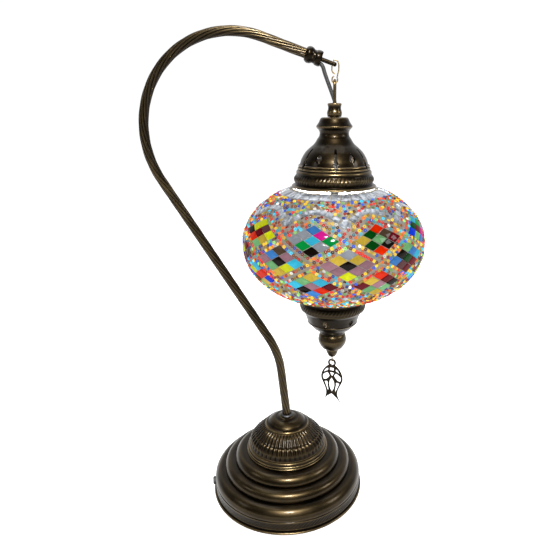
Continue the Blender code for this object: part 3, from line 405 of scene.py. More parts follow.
base = spun(base_profile, BASE_STEPS)
rib_band(base, (0.0, 0.0), BASE_RIBS, 5.4, 13.8, 0.55, RIB_LEAN)
brass_piece("base_spun", base, 1.6, 2, "base_shell", "base")

# ------------------------ gland and lead
# A black nylon gland snaps into the wall of the base. The two-core lead goes on from it inside the lamp.

nylon, shader, place = finish("black_nylon", {"Specular IOR Level": 0.5})
skin = place.node("ShaderNodeTexNoise", {}, {"Vector": place, "Scale": 600.0, "Detail": 4.0})
lay_on(shader, "Base Color", skin.between((0.010, 0.010, 0.011, 1.0), (0.028, 0.028, 0.030, 1.0)))
lay_on(shader, "Roughness", 0.36 + skin * 0.2)
roughen(shader, skin, 0.3, 0.0002)
for node in ("cable_gland", "feed_cable", "lamp_lead", "neck_grommet", "lampholder"):
    coat(node, nylon)

# ------------------------ fluted dome
# A pressed brass dome with 48 round flutes, standing on the flat top of the base.

DOME_FLUTES = 48
dome_profile = [(12.0, 77.0)]
dome_profile += curve_through(
    [(23.5, 77.0), (27.6, 74.7), (31.0, 71.3), (34.2, 67.8), (36.4, 66.5), (38.8, 63.4), (40.5, 60.8),
    (41.0, 57.4), (41.1, 55.6)], 4
)
dome_profile += [
    (41.1, 55.4), (41.1, 54.6), (37.9, 54.6), (37.3, 60.0), (33.0, 66.5), (21.0, 74.4), (12.0, 74.4)
]
dome = spun(dome_profile, DOME_FLUTES * 8)
for vert in dome.verts:
    radius = vert.co.xy.length / MM
    z = vert.co.z / MM
    if z > 56.2 and radius > 38.2 - 1.05 * max(0.0, z - 60.0) and 24.0 < radius:
        wave = abs(math.sin(math.atan2(vert.co.y, vert.co.x) * DOME_FLUTES / 2.0))
        fade = min(1.0, (z - 56.2) / 2.5, (radius - 23.6) / 3.0)
        pull = 1.7 * fade * (1.0 - wave)
        vert.co.x *= (radius - pull) / radius
        vert.co.y *= (radius - pull) / radius
brass_piece("dome_pressed", dome, 1.4, 2, "fluted_dome", "dome")

# ------------------------ dome cap and grommet
# A smooth turned brass cap centres the neck on the dome. The neck's nut holds all of the stack together.

cap_profile = curve_through([(4.8, 86.6), (7.4, 86.6), (8.8, 86.1)], 3)
cap_profile += curve_through(
    [(8.8, 86.1), (10.9, 85.2), (13.2, 84.9), (16.0, 83.8), (18.6, 81.9), (20.6, 80.0), (22.6, 79.2),
    (23.5, 78.4), (23.2, 77.3)], 4
)
cap_profile += [(23.2, 77.3), (11.7, 77.3), (11.7, 73.3), (4.8, 73.3)]
cap = spun(cap_profile, 96)
brass_piece("dome_cap_turned", cap, 2.0, 2, "dome_cap", "cap")

# ------------------------ neck
# Brass tube drawn with ten shallow flutes that wind slowly round it, then bent over a former.


NECK_RADIUS = 4.5
NECK_LOBES = 10
NECK_PITCH = 170.0  # rise of one whole turn of a flute
FERRULE_GRIP = 6.2


def neck_line():
    """The neck's centreline from its foot to the ferrule's back face."""
    points = [Vector((0.0, 0.0, 43.0 + 4.0 * i)) for i in range(10)] + [Vector((0.0, 0.0, 83.2))]
    here = points[-1]
    angle = 0.0
    for kind, size, to in (
        ("left", 100.0, 5.5), ("on", 49.2, 0), ("left", 92.6, 30.7), ("on", 190.5, 0), ("right", 87.9, -24.7),
        ("right", 83.9, -109.5), ("on", 40.6, 0),
    ):
        if kind == "on":
            steps = int(size / 5.0)
            forward = Vector((-math.sin(angle), 0.0, math.cos(angle)))
            points += [here + forward * (size * (i + 1) / steps) for i in range(steps)]
        else:
            turn = -1.0 if kind == "left" else 1.0
            end = math.radians(to)
            centre = here + Vector((math.cos(angle), 0.0, math.sin(angle))) * turn * size
            steps = max(4, int(abs(end - angle) * size / 4.0))
            for i in range(1, steps + 1):
                now = angle + (end - angle) * i / steps
                points.append(centre - Vector((math.cos(now), 0.0, math.sin(now))) * turn * size)
            angle = end
        here = points[-1]
    return points


def swept(name, points, section, turn_per_mm=0.0, radii=None):
    """A bar of one cross-section drawn along points, turning evenly as it goes, as a bmesh."""
    outline = bpy.data.curves.new(name + "_section", "CURVE")
    outline.dimensions = "2D"
    line = outline.splines.new("POLY")
    line.points.add(len(section) - 1)
    for slot, (x, y) in zip(line.points, section):
        slot.co = (x * MM, y * MM, 0.0, 1.0)
    line.use_cyclic_u = True
    outline_object = bpy.data.objects.new(name + "_section", outline)
    curve = bpy.data.curves.new(name, "CURVE")
    curve.dimensions = "3D"
    curve.bevel_mode = "OBJECT"
    curve.bevel_object = outline_object
    curve.use_fill_caps = True
    path = curve.splines.new("POLY")
    path.points.add(len(points) - 1)
    gone = 0.0
    for i, point in enumerate(points):
        gone += (Vector(point) - Vector(points[i - 1])).length if i else 0.0
        path.points[i].co = (*(Vector(point) * MM), 1.0)
        path.points[i].tilt = gone * turn_per_mm
        path.points[i].radius = radii[i] if radii else 1.0
    bar = bpy.data.objects.new(name, curve)
    scene.collection.objects.link(outline_object)
    scene.collection.objects.link(bar)
    bpy.context.view_layer.update()
    mesh = bpy.data.meshes.new_from_object(bar.evaluated_get(bpy.context.evaluated_depsgraph_get()))
    shape = bmesh.new()
    shape.from_mesh(mesh)
    bmesh.ops.remove_doubles(shape, verts=shape.verts, dist=0.000004)
    bmesh.ops.recalc_face_normals(shape, faces=shape.faces)
    for old in (bar, outline_object):
        bpy.data.objects.remove(old)
    bpy.data.meshes.remove(mesh)
    return shape


NECK = neck_line()
FERRULE_BACK = NECK[-1]
TIP = math.radians(109.5)
ALONG = Vector((math.sin(TIP), 0.0, math.cos(TIP)))
BELOW = Vector((ALONG.z, 0.0, -ALONG.x))
neck_section = []
for i in range(NECK_LOBES * 8):
    a = math.tau * i / (NECK_LOBES * 8)
    lobe = abs(math.sin(a * NECK_LOBES / 2.0)) ** 0.8
    radius = NECK_RADIUS - 0.62 * (1.0 - lobe)
    neck_section.append((radius * math.cos(a), radius * math.sin(a)))
neck = swept("neck", NECK + [FERRULE_BACK + ALONG * FERRULE_GRIP], neck_section, -math.tau / NECK_PITCH)
brass_piece("neck_fluted", neck, 1.1, 1, "neck_tube", "neck", 0.7)

# ------------------------ ferrule and hook rod
# A turned brass ferrule closes the neck's end. A short brass rod goes on from it, drilled near its tip
# for the wire hook, and the lamp's cable comes out of the ferrule's face below the rod.


def tip_place():
    """From a piece turned about the upright axis to its place on the neck's end."""
    turn = Matrix.Rotation(TIP, 4, "Y")
    return Matrix.Translation(FERRULE_BACK * MM) @ turn


ferrule_profile = [(4.8, 0.0)]
ferrule_profile += curve_through(
    [(5.6, 0.0), (6.4, 0.9), (7.1, 2.2), (7.25, 3.6), (6.95, 5.2), (6.3, 6.6)], 3
)
ferrule_profile += curve_through([(6.3, 6.6), (5.8, 7.4), (5.8, 8.6), (6.0, 9.4)], 3)
ferrule_profile += curve_through(
    [(6.0, 9.4), (6.6, 10.2), (6.85, 11.8), (6.8, 13.4), (6.5, 14.5), (6.2, 15.0)], 3
)
ferrule_profile += [(6.2, 15.0), (2.1, 15.0), (2.1, 10.5), (5.3, 10.5), (5.3, 7.4), (4.8, 7.0)]
ferrule = spun(ferrule_profile, 64)
ferrule.transform(tip_place())
ferrule_piece = brass_piece("ferrule_turned", ferrule, 2.0, 2, "end_ferrule", "ferrule", 0.7)


def cut_from(piece, start, end, radius):
    """Drill a round hole through a piece between two points."""
    drill = bmesh.new()
    bmesh.ops.create_cone(
        drill, cap_ends=True, segments=32, radius1=radius * MM, radius2=radius * MM,
        depth=(end - start).length * MM,
    )
    drill.transform((end - start).to_track_quat("Z", "Y").to_matrix().to_4x4())
    drill.transform(Matrix.Translation((start + end) / 2.0 * MM))
    cut_with(piece, drill)


def cut_with(piece, drill):
    """Take a cutter's shape out of a piece."""
    mesh = bpy.data.meshes.new("cutter")
    drill.to_mesh(mesh)
    drill.free()
    cutter = bpy.data.objects.new("cutter", mesh)
    scene.collection.objects.link(cutter)
    cut = piece.modifiers.new("cut", "BOOLEAN")
    cut.operation = "DIFFERENCE"
    cut.solver = "EXACT"
    cut.object = cutter
    bpy.context.view_layer.update()
    done = bpy.data.meshes.new_from_object(piece.evaluated_get(bpy.context.evaluated_depsgraph_get()))
    piece.modifiers.clear()
    piece.data = done
    bpy.data.objects.remove(cutter)


cut_from(
    ferrule_piece, FERRULE_BACK + ALONG * 9.5 + BELOW * 3.95, FERRULE_BACK + ALONG * 18.0 + BELOW * 3.95,
    2.1
)

rod_profile = curve_through([(0.0, 29.4), (0.9, 29.25), (1.6, 28.8), (1.9, 28.0)], 3)
rod_profile += [(1.9, 28.0 - 0.8 * i) for i in range(20)] + [(1.9, 11.6), (0.0, 11.6)]
rod = spun(rod_profile, 40)
rod.transform(tip_place())
rod_piece = brass_piece("hook_rod_turned", rod, 2.0, 2, "hook_rod", "rod", 0.8)
HOLE_CENTRE = FERRULE_BACK + ALONG * 25.8
cut_from(rod_piece, HOLE_CENTRE - BELOW * 4.0, HOLE_CENTRE + BELOW * 4.0, 1.25)

# ------------------------ wire hook
# One piece of thin brass-plated wire, bent by hand into two open eyes: one through the rod and one for
# the shade.

HANG_X = HOLE_CENTRE.x + 1.9
HOOK_PIVOT_Z = HOLE_CENTRE.z + 0.95
HOOK_TOP_Z = HOOK_PIVOT_Z + 0.7
HANG_Z = HOOK_PIVOT_Z - 17.3
PLUMB = (HANG_X, 0.0)


def circle(radius, sides):
    """A round cross-section."""
    return [
        (radius * math.cos(math.tau * i / sides), radius * math.sin(math.tau * i / sides)) for i in
        range(sides)
    ]


def arc(x, z, radius, start, end, count):
    """Points on an arc in the plane Y = 0, its angles from +X towards +Z in degrees."""
    steps = [math.radians(start + (end - start) * i / count) for i in range(count + 1)]
    return [Vector((x + radius * math.cos(a), 0.0, z + radius * math.sin(a))) for a in steps]


def eased(points, per=4):
    """A smooth line through points in space."""
    line = []
    for i in range(len(points) - 1):
        before = points[max(i - 1, 0)]
        first = points[i]
        last = points[i + 1]
        after = points[min(i + 2, len(points) - 1)]
        handles = (first + (last - before) / 6.0, last - (after - first) / 6.0)
        line += interpolate_bezier(first, *handles, last, per + 1)[:-1]
    return line + [points[-1]]


hook_points = [(0.5, 8.1), (-1.2, 8.4), (-2.6, 10.2), (-2.75, 12.2)]
hook_path = [Vector((HANG_X + x, 0.0, HANG_Z + z)) for x, z in hook_points]
hook_path += [HOLE_CENTRE + BELOW * 2.2, HOLE_CENTRE.copy(), HOLE_CENTRE - BELOW * 1.6]
hook_path += [
    Vector((HANG_X + x, 0.0, HOOK_TOP_Z + z)) for x, z in ((-0.75, 1.45), (0.5, 1.5), (2.1, 0.6),
    (3.2, -1.2), (3.5, -4.0))
]
hook_path += [Vector((HANG_X + x, 0.0, HANG_Z + z)) for x, z in ((3.3, 10.0), (2.6, 7.9), (2.5, 6.6))]
hook_path += arc(HANG_X, HANG_Z + 3.4, 2.5, 35.0, 0.0, 2)
hook_path += arc(HANG_X, HANG_Z + 2.5, 2.5, 0.0, -180.0, 10)
hook_path += arc(HANG_X, HANG_Z + 3.4, 2.5, 180.0, 105.0, 4)
hook = swept("hook", eased(hook_path, 3), circle(0.6, 12))
brass_piece("hook_wire", hook, 1.0, 2, "s_hook", "wire", 2.4, body="hook")

# ------------------------ hanging loop
# A brass wire loop that hangs on the hook's lower eye, both of its legs soldered into the cord grip.

GRIP_TOP = HANG_Z - 17.0
LOOP_HALF_WIDTH = 3.8
loop_centre = HANG_Z + 0.6 + 0.3 + 1.4 - LOOP_HALF_WIDTH
loop_points = [Vector((HANG_X, LOOP_HALF_WIDTH, GRIP_TOP - 6.0 + 2.0 * i)) for i in range(5)]
for i in range(17):
    a = math.pi * i / 16.0
    loop_points.append(
        Vector((HANG_X, LOOP_HALF_WIDTH * math.cos(a), loop_centre + LOOP_HALF_WIDTH * math.sin(a)))
    )
loop_points += [Vector((HANG_X, -LOOP_HALF_WIDTH, GRIP_TOP + 2.0 - 2.0 * i)) for i in range(5)]
loop = swept("loop", loop_points, circle(1.4, 16))
brass_piece("loop_wire", loop, 1.0, 2, "hanging_loop", "loop", 1.1, body="shade")

# ------------------------ cord grip
# A turned brass collar that takes the shade's weight from the loop and lets the cable down through its
# middle.

CAP_TOP = GRIP_TOP - 12.4
grip_profile = [(2.1, GRIP_TOP)]
grip_profile += [
    (r, GRIP_TOP - d)
    for r, d in curve_through(
        [(5.2, 0.0), (6.3, 0.5), (6.5, 1.3), (6.1, 2.6), (5.9, 4.3), (6.2, 6.1), (6.8, 7.6)], 3
    )
]
grip_profile += [
    (r, GRIP_TOP - d) for r, d in curve_through([(6.8, 7.8), (6.95, 9.0), (6.8, 10.2), (6.3, 12.1)], 3)
]
grip_profile += [(6.3, GRIP_TOP - 12.1), (4.7, GRIP_TOP - 12.1), (4.7, CAP_TOP - 20.0), (2.1, CAP_TOP - 20.0)]
grip = spun(grip_profile, 56, PLUMB)
grip_piece = brass_piece("grip_turned", grip, 2.0, 2, "cord_grip", "grip", body="shade")
for side in (-1.0, 1.0):
    leg = Vector((HANG_X, side * LOOP_HALF_WIDTH, GRIP_TOP))
    cut_from(grip_piece, leg - Vector((0.0, 0.0, 6.8)), leg + Vector((0.0, 0.0, 3.0)), 1.6)

# ------------------------ drop cable
# The two-core lead in its black sheath, hanging slack from the ferrule's face to the cord grip.

DROP_OUT = 3.95
drop_points = [
    FERRULE_BACK + ALONG * (FERRULE_GRIP + 0.6) + BELOW * 1.3, FERRULE_BACK + ALONG * 9.0 + BELOW * 2.7
]
drop_points += [FERRULE_BACK + ALONG * s + BELOW * DROP_OUT for s in (10.8, 15.4)]
drop_bend = drop_points[-1]
drop_points += [drop_bend + Vector((1.5, 0.0, -1.3)), drop_bend + Vector((2.6, 0.0, -3.4))]
drop_entry = Vector((HANG_X, 0.0, GRIP_TOP + 1.6))
slack = interpolate_bezier(
    drop_points[-1], drop_points[-1] + Vector((1.8, 0.0, -7.0)), drop_entry + Vector((-2.2, 0.0, 7.0)),
    drop_entry, 9
)
drop_points += [*slack[1:], Vector((HANG_X, 0.0, GRIP_TOP - 1.2))]
drop_line = eased(drop_points, 4)
DROP_SPLIT = len(drop_line) * 5 // 9
sheath, shader, place = finish("black_sheath", {"Specular IOR Level": 0.5})
skin = place.node("ShaderNodeTexNoise", {}, {"Vector": place, "Scale": 700.0, "Detail": 3.0})
lay_on(shader, "Base Color", skin.between((0.008, 0.008, 0.008, 1.0), (0.022, 0.021, 0.020, 1.0)))
lay_on(shader, "Roughness", 0.38 + skin * 0.2)
upper_cable = as_piece(
    "cable_upper", swept("cable_upper", drop_line[: DROP_SPLIT + 1], circle(1.8, 20)), sheath
)
lower_cable = as_piece("cable_lower", swept("cable_lower", drop_line[DROP_SPLIT:], circle(1.8, 20)), sheath)
tuple(drop_bend * MM)
tuple(drop_line[DROP_SPLIT] * MM)
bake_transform(upper_cable)
tuple(drop_line[DROP_SPLIT] * MM)
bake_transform(lower_cable)
for cable in (upper_cable, lower_cable):
    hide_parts("drop_cable")

# ------------------------ top cap
# A pressed brass cap, darkened like the base, with a slanting rope band and pierced with slots and diamonds.

CAP_FOOT = CAP_TOP - 63.4
CAP_RIBS = 65
cap_outline = curve_through([(5.0, 0.0), (9.0, 0.05), (11.6, 0.2), (12.8, 1.0), (13.4, 2.0)], 3)
cap_outline += curve_through(
    [(13.4, 2.0), (14.6, 4.6), (16.4, 7.2), (16.9, 8.2), (16.2, 9.6), (14.6, 11.2)], 4
)
cap_outline += curve_through([(14.6, 11.2), (13.7, 13.4), (13.7, 15.2), (14.3, 17.2), (15.6, 19.0)], 4)
cap_outline += curve_through(
    [(15.6, 19.0), (18.6, 23.6), (22.7, 27.2), (27.0, 31.4), (30.6, 37.2), (32.4, 42.4)], 5
)
cap_outline += curve_through([(32.4, 42.4), (33.6, 42.9), (33.9, 43.9), (33.1, 44.7)], 2)
cap_outline += curve_through([(33.1, 44.7), (34.3, 45.3), (34.6, 46.3), (33.9, 47.2)], 2)
cap_outline += curve_through([(33.9, 47.2), (35.3, 48.1), (35.9, 49.4), (35.5, 51.2)], 2)
cap_outline += [(35.9 + 1.8 * math.sin(math.pi * i / 18.0) + 0.06 * i, 51.8 + 0.42 * i) for i in range(19)]
cap_outline += curve_through(
    [(36.7, 59.8), (36.9, 60.4), (38.6, 60.9), (40.2, 61.8), (40.4, 62.6), (40.4, 63.4)], 2
)
cap_outline += [(40.4, 63.4)]
cap_outline += [
    (35.6, 63.4), (35.4, 54.2), (33.0, 48.6), (31.2, 42.6), (29.0, 38.0), (25.4, 32.4), (17.6, 25.0)
]
cap_outline += [(14.4, 20.0), (12.3, 15.4), (12.4, 8.0), (10.0, 1.6), (5.0, 1.6)]
top_cap = spun([(r, CAP_TOP - d) for r, d in cap_outline], CAP_RIBS * 4, PLUMB)
rib_band(top_cap, PLUMB, CAP_RIBS, CAP_TOP - 59.6, CAP_TOP - 51.6, 0.9, 1.2)
top_cap_piece = brass_piece("top_cap_pressed", top_cap, 1.6, 2, "top_cap", "top_cap", 0.9, body="shade")


def pierce(piece, outline, height, azimuths, reach):
    """Punch an outline of (across, up) points through a cap's wall, facing each azimuth."""
    for azimuth in azimuths:
        punch = bmesh.new()
        loop = [punch.verts.new((0.0, x * MM, z * MM)) for x, z in outline]
        face = punch.faces.new(loop)
        pushed = bmesh.ops.extrude_face_region(punch, geom=[face])
        moved = [part for part in pushed["geom"] if isinstance(part, bmesh.types.BMVert)]
        bmesh.ops.translate(punch, verts=moved, vec=(reach * MM, 0.0, 0.0))
        bmesh.ops.recalc_face_normals(punch, faces=punch.faces)
        turn = Matrix.Rotation(math.radians(azimuth), 4, "Z")
        punch.transform(Matrix.Translation((PLUMB[0] * MM, PLUMB[1] * MM, height * MM)) @ turn)
        cut_with(piece, punch)


SLOT = [(-1, 0), (-1, -7.5), (-2.4, -12), (0, -18.3), (2.4, -12), (1, -7.5), (1, 0), (0, 1)]
pierce(top_cap_piece, SLOT, CAP_TOP - 28.2, [-89 + 60 * i for i in range(6)], 60.0)
pierce(
    top_cap_piece, [(0, 5.2), (-3.5, 0), (0, -5.2), (3.5, 0)], CAP_TOP - 36.0, [-59 + 60 * i for i in
    range(6)], 60.0
)

# ------------------------ bulb
# A screw-in bulb in a black lampholder. Its frosted glass is the light inside the shade.

thread, shader, place = finish("bulb_thread", {"Metallic": 1.0})
smear = place.node("ShaderNodeTexNoise", {}, {"Vector": place, "Scale": 200.0})
lay_on(shader, "Base Color", smear.between((0.45, 0.45, 0.46, 1.0), (0.72, 0.72, 0.72, 1.0)))
lay_on(shader, "Roughness", 0.2 + smear * 0.2)
coat("bulb_base", thread)
glow, shader, place = finish("bulb_glow", {"Roughness": 0.4})
frost = place.node("ShaderNodeTexNoise", {}, {"Vector": place, "Scale": 60.0})
lay_on(shader, "Base Color", frost.between((0.90, 0.90, 0.88, 1.0), (0.98, 0.98, 0.97, 1.0)))
lay_on(shader, "Emission Color", frost.between((1.0, 0.97, 0.92, 1.0), (1.0, 1.0, 0.98, 1.0)))
shader.inputs["Emission Strength"].default_value = 220.0
glow.cycles.emission_sampling = "NONE"
coat("bulb_glass", glow)

# ------------------------ glass globe
# A blown globe of clear glass, wider than tall, which carries the mosaic on its outside.

GLOBE_WIDE = 89.0
GLOBE_HIGH = 60.1
GLOBE_POWER = 2.07
SKIN_TOP = 39.9  # radius of the mosaic's upper edge
SKIN_BOTTOM = 35.2
GAP = 0.3


def globe_height(radius):
    """Height above the globe's waist at a radius."""
    return GLOBE_HIGH * (1.0 - (radius / GLOBE_WIDE) ** GLOBE_POWER) ** (1.0 / GLOBE_POWER)


GLOBE_Z = CAP_FOOT - GAP - globe_height(SKIN_TOP)


def globe_point(turn, inset):
    """Radius and height on the globe's surface, set in, at a turn up from its widest level."""
    r = (GLOBE_WIDE - inset) * abs(math.cos(turn)) ** (2.0 / GLOBE_POWER)
    z = (GLOBE_HIGH - inset) * abs(math.sin(turn)) ** (2.0 / GLOBE_POWER)
    return r, GLOBE_Z + math.copysign(z, turn)


def globe_profile(outside, inside, top, bottom, count=40):
    """A closed profile of the globe's wall between two openings."""
    profile = []
    for inset, backward in ((outside, False), (inside, True)):
        first = math.acos((top / (GLOBE_WIDE - inset)) ** (GLOBE_POWER / 2.0))
        last = -math.acos((bottom / (GLOBE_WIDE - inset)) ** (GLOBE_POWER / 2.0))
        run = [globe_point(first + (last - first) * i / count, inset) for i in range(count + 1)]
        profile += run[::-1] if backward else run
    return profile


# The glass is given a painted glow, near white and shifting between a little cool and a little warm by the
# noise, standing in for the bulb's light shining through it.
clear, shader, place = finish(
    "frosted_glass", {"Transmission Weight": 0.6, "IOR": 1.02, "Roughness": 0.5, "Emission Strength": 0.4}
)
bloom = place.node("ShaderNodeTexNoise", {}, {"Vector": place, "Scale": 30.0})
lay_on(shader, "Base Color", bloom.between((0.90, 0.92, 0.92, 1.0), (0.98, 0.98, 0.98, 1.0)))
lay_on(shader, "Emission Color", bloom.between((0.92, 0.95, 1.0, 1.0), (1.0, 0.98, 0.94, 1.0)))
clear.cycles.emission_sampling = "NONE"
glass_piece = as_piece("globe_blown", spun(globe_profile(2.7, 5.2, 36.5, 29.0), 96, PLUMB), clear)
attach(glass_piece, "shade")
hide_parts("glass_globe")

# ------------------------ grout
# White plaster grout, pressed between the tiles and beads and wiped off level with them.

# The grout is given a painted glow, near white and a little warm, standing in for the bulb's light shining
# through it.
grout, shader, place = finish(
    "white_grout", {"Roughness": 0.8, "Transmission Weight": 0.3, "IOR": 1.0, "Emission Strength": 0.12}
)
plaster = place.node("ShaderNodeTexNoise", {}, {"Vector": place, "Scale": 380.0, "Detail": 5.0})
lay_on(shader, "Base Color", plaster.between((0.10, 0.09, 0.07, 1.0), (0.26, 0.24, 0.20, 1.0)))
lay_on(shader, "Emission Color", plaster.between((0.80, 0.76, 0.70, 1.0), (1.0, 0.98, 0.95, 1.0)))
roughen(shader, plaster, 0.6, 0.0004)
grout.cycles.emission_sampling = "NONE"
grout_piece = as_piece("grout_skin", spun(globe_profile(0.9, 2.4, SKIN_TOP, SKIN_BOTTOM), 128, PLUMB), grout)
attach(grout_piece, "shade")
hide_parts("mosaic_skin")

# ------------------------ mosaic tiles
# Cut glass: three rows of diamonds, each of nine rhombus tiles, with small mirror tiles in arches over
# them. Lit glass is given a steady glow in its own colour.

arc_turns = [math.pi * i / 2000.0 for i in range(-1000, 1001)]
arc_points = [globe_point(t, 0.0) for t in arc_turns]
arc_lengths = [0.0]
for (r0, z0), (r1, z1) in zip(arc_points, arc_points[1:]):
    arc_lengths.append(arc_lengths[-1] + math.hypot(r1 - r0, z1 - z0))
middle = arc_lengths[1000]
arc_lengths = [length - middle for length in arc_lengths]


def on_globe(phi, s, inset):
    """Place on the globe: phi in degrees round from the front, s along the surface up from the waist."""
    turn = float(np.interp(s, arc_lengths, arc_turns))
    r, z = globe_point(turn, 0.0)
    step = 0.002
    ra, za = globe_point(turn - step, 0.0)
    rb, zb = globe_point(turn + step, 0.0)
    up2 = Vector((rb - ra, zb - za)).normalized()
    a = math.radians(phi - 90.0)
    out = Vector((math.cos(a), math.sin(a), 0.0))
    up = out * up2.x + Vector((0.0, 0.0, up2.y))
    normal = out * up2.y - Vector((0.0, 0.0, up2.x))
    across = Vector((-math.sin(a), math.cos(a), 0.0))
    where = out * r + Vector((HANG_X, 0.0, z)) - normal * inset
    matrix = Matrix((across, up, normal)).transposed().to_4x4()
    matrix.translation = where
    return matrix, r


PAINTS = {
    "orange": (250, 48, 4), "grey_brown": (97, 78, 61), "dark_green": (10, 74, 23), "green": (14, 158, 70),
    "gold": (224, 190, 70), "mint": (127, 196, 129), "maroon": (120, 16, 32), "black": (28, 22, 17),
    "mauve": (173, 127, 140), "yellow": (235, 244, 26), "blue": (72, 145, 228), "sky": (65, 208, 248),
    "cobalt": (7, 60, 230), "magenta": (232, 37, 155), "brown": (105, 65, 67), "grey": (165, 172, 182),
}
TILE_COLOURS = {
    (0, -54): "yellow yellow brown black maroon yellow orange gold mint",
    (0, -14): "blue grey magenta grey sky green green grey black",
    (0, 26): "orange dark_green grey_brown gold mint maroon dark_green black orange",
    (1, -34): "grey_brown blue mauve mauve black sky mint yellow gold",
    (1, 6): "grey gold gold mauve black mauve mauve mauve yellow",
    (1, 46): "mint black blue blue dark_green sky brown maroon maroon",
    (2, -54): "sky yellow orange cobalt orange cobalt dark_green gold mint",
    (2, -14): "gold mint sky sky mauve maroon black orange blue",
    (2, 26): "orange gold maroon maroon mauve black mint mint gold",
}
rng = random.Random(7)
CELLS = [(0, 2), (-1, 1), (1, 1), (-2, 0), (0, 0), (2, 0), (-1, -1), (1, -1), (0, -2)]
DIAMOND_ROWS = [(-14.0, 21.8), (6.3, 0.8), (-14.0, -19.9)]
TILE_DEGREES = 10.5
TILE_TALL = 9.65


def tile(shape, colour_layer, phi, s, corners, colour, thick=1.7, proud=0.1):
    """A flat cut tile with softened edges, its corners in millimetres across and up, bedded at a place."""
    matrix = on_globe(phi, s, proud + thick)[0]
    verts = [shape.verts.new((x, y, 0.0)) for x, y in corners]
    face = shape.faces.new(verts)
    pushed = bmesh.ops.extrude_face_region(shape, geom=[face])
    top = [part for part in pushed["geom"] if isinstance(part, bmesh.types.BMVert)]
    for vert in top:
        vert.co.z = thick
    lid = [part for part in pushed["geom"] if isinstance(part, bmesh.types.BMFace)][0]
    soft = bmesh.ops.bevel(
        shape, geom=list(lid.edges), offset=0.45, offset_type="OFFSET", segments=2, profile=0.5,
        affect="EDGES",
        material=-1,
    )
    made = set(verts) | {v for v in top if v.is_valid} | set(soft["verts"])
    made |= {v for face in soft["faces"] for v in face.verts}
    tilt = Matrix.Rotation(rng.uniform(-0.05, 0.05), 4, "X")
    tilt = tilt @ Matrix.Rotation(rng.uniform(-0.05, 0.05), 4, "Y")
    for vert in [v for v in made if v.is_valid]:
        vert.co = (matrix @ (tilt @ vert.co)) * MM
        vert[colour_layer] = colour


def tint(name):
    """A paint's light, a little lighter or darker from tile to tile."""
    shade = rng.uniform(0.82, 1.15)
    return Vector([min(1.0, c * shade) for c in linear(*PAINTS[name])[:3]])


tiles = bmesh.new()
tile_colour = tiles.verts.layers.float_vector.new("tint")
for row, (first_phi, row_s) in enumerate(DIAMOND_ROWS):
    for k in range(9):
        centre = first_phi + 40.0 * k
        centre = (centre + 180.0) % 360.0 - 180.0
        known = TILE_COLOURS.get((row, round(centre)))
        names = known.split() if known else [rng.choice(list(PAINTS)) for _ in CELLS]
        for (column, level), name in zip(CELLS, names):
            phi = centre + column * TILE_DEGREES / 2.0
            s = row_s + level * TILE_TALL / 2.0
            r = on_globe(phi, s, 0.0)[1]
            wide = math.radians(TILE_DEGREES) * r / 2.0 - 0.55
            tall = TILE_TALL / 2.0 - 0.4
            ends = [(0.0, -tall), (wide, 0.0), (0.0, tall), (-wide, 0.0)]
            ends = [(x + rng.uniform(-0.2, 0.2), y + rng.uniform(-0.2, 0.2)) for x, y in ends]
            tile(tiles, tile_colour, phi, s, ends, tint(name))


def deepened(colour, share):
    """A colour with only a share of its light."""
    grey = (share, share, share, 1.0)
    settings = {"data_type": "RGBA", "blend_type": "MULTIPLY"}
    return colour.node("ShaderNodeMix", settings, {0: 1.0, 6: colour, 7: grey}, 2)


# The tiles' glow is painted: an emission in each tile's own colour stands in for the bulb's light shining
# through the glass, and the surface colour is that colour cut to 0.3.
stained, shader, place = finish(
    "stained_glass",
    {"Roughness": 0.12, "Transmission Weight": 0.35, "IOR": 1.0, "Coat Weight": 0.2, "Coat Roughness": 0.08,
    "Emission Strength": 0.62},
)
paint = place.node("ShaderNodeAttribute", {"attribute_name": "tint"}, {}, "Color")
streak = place.node(
    "ShaderNodeTexNoise", {}, {"Vector": place, "Scale": 120.0, "Detail": 4.0, "Distortion": 1.5}
)
deep = (0.35 + streak * 0.75).held().between((0.25, 0.25, 0.25, 1.0), (1.0, 1.0, 1.0, 1.0))
body_colour = place.node(
    "ShaderNodeMix", {"data_type": "RGBA", "blend_type": "MULTIPLY"}, {0: 1.0, 6: paint, 7: deep}, 2
)
lay_on(shader, "Base Color", deepened(body_colour, 0.30))
lay_on(shader, "Emission Color", body_colour)
roughen(shader, streak, 0.3, 0.0004)
stained.cycles.emission_sampling = "NONE"
tiles_piece = as_piece("diamond_tiles", tiles, stained)
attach(tiles_piece, "shade")

mirrors = bmesh.new()
mirror_colour = mirrors.verts.layers.float_vector.new("tint")
mirror_cells = []


def mirror_tile(phi, s, wide, tall, slant=0.0, spread=0.0):
    """A small mirror tile, slanted by an angle, its top narrower by the spread."""
    ends = [(-wide - spread, -tall), (wide + spread, -tall), (wide - spread, tall), (-wide + spread, tall)]
    c, d = math.cos(slant), math.sin(slant)
    ends = [(x * c - y * d + rng.uniform(-0.3, 0.3), x * d + y * c + rng.uniform(-0.3, 0.3)) for x, y in ends]
    tile(mirrors, mirror_colour, phi, s, ends, Vector((1.0, 1.0, 1.0)) * rng.uniform(0.55, 1.0))
    mirror_cells.append((phi, s, max(wide, tall)))


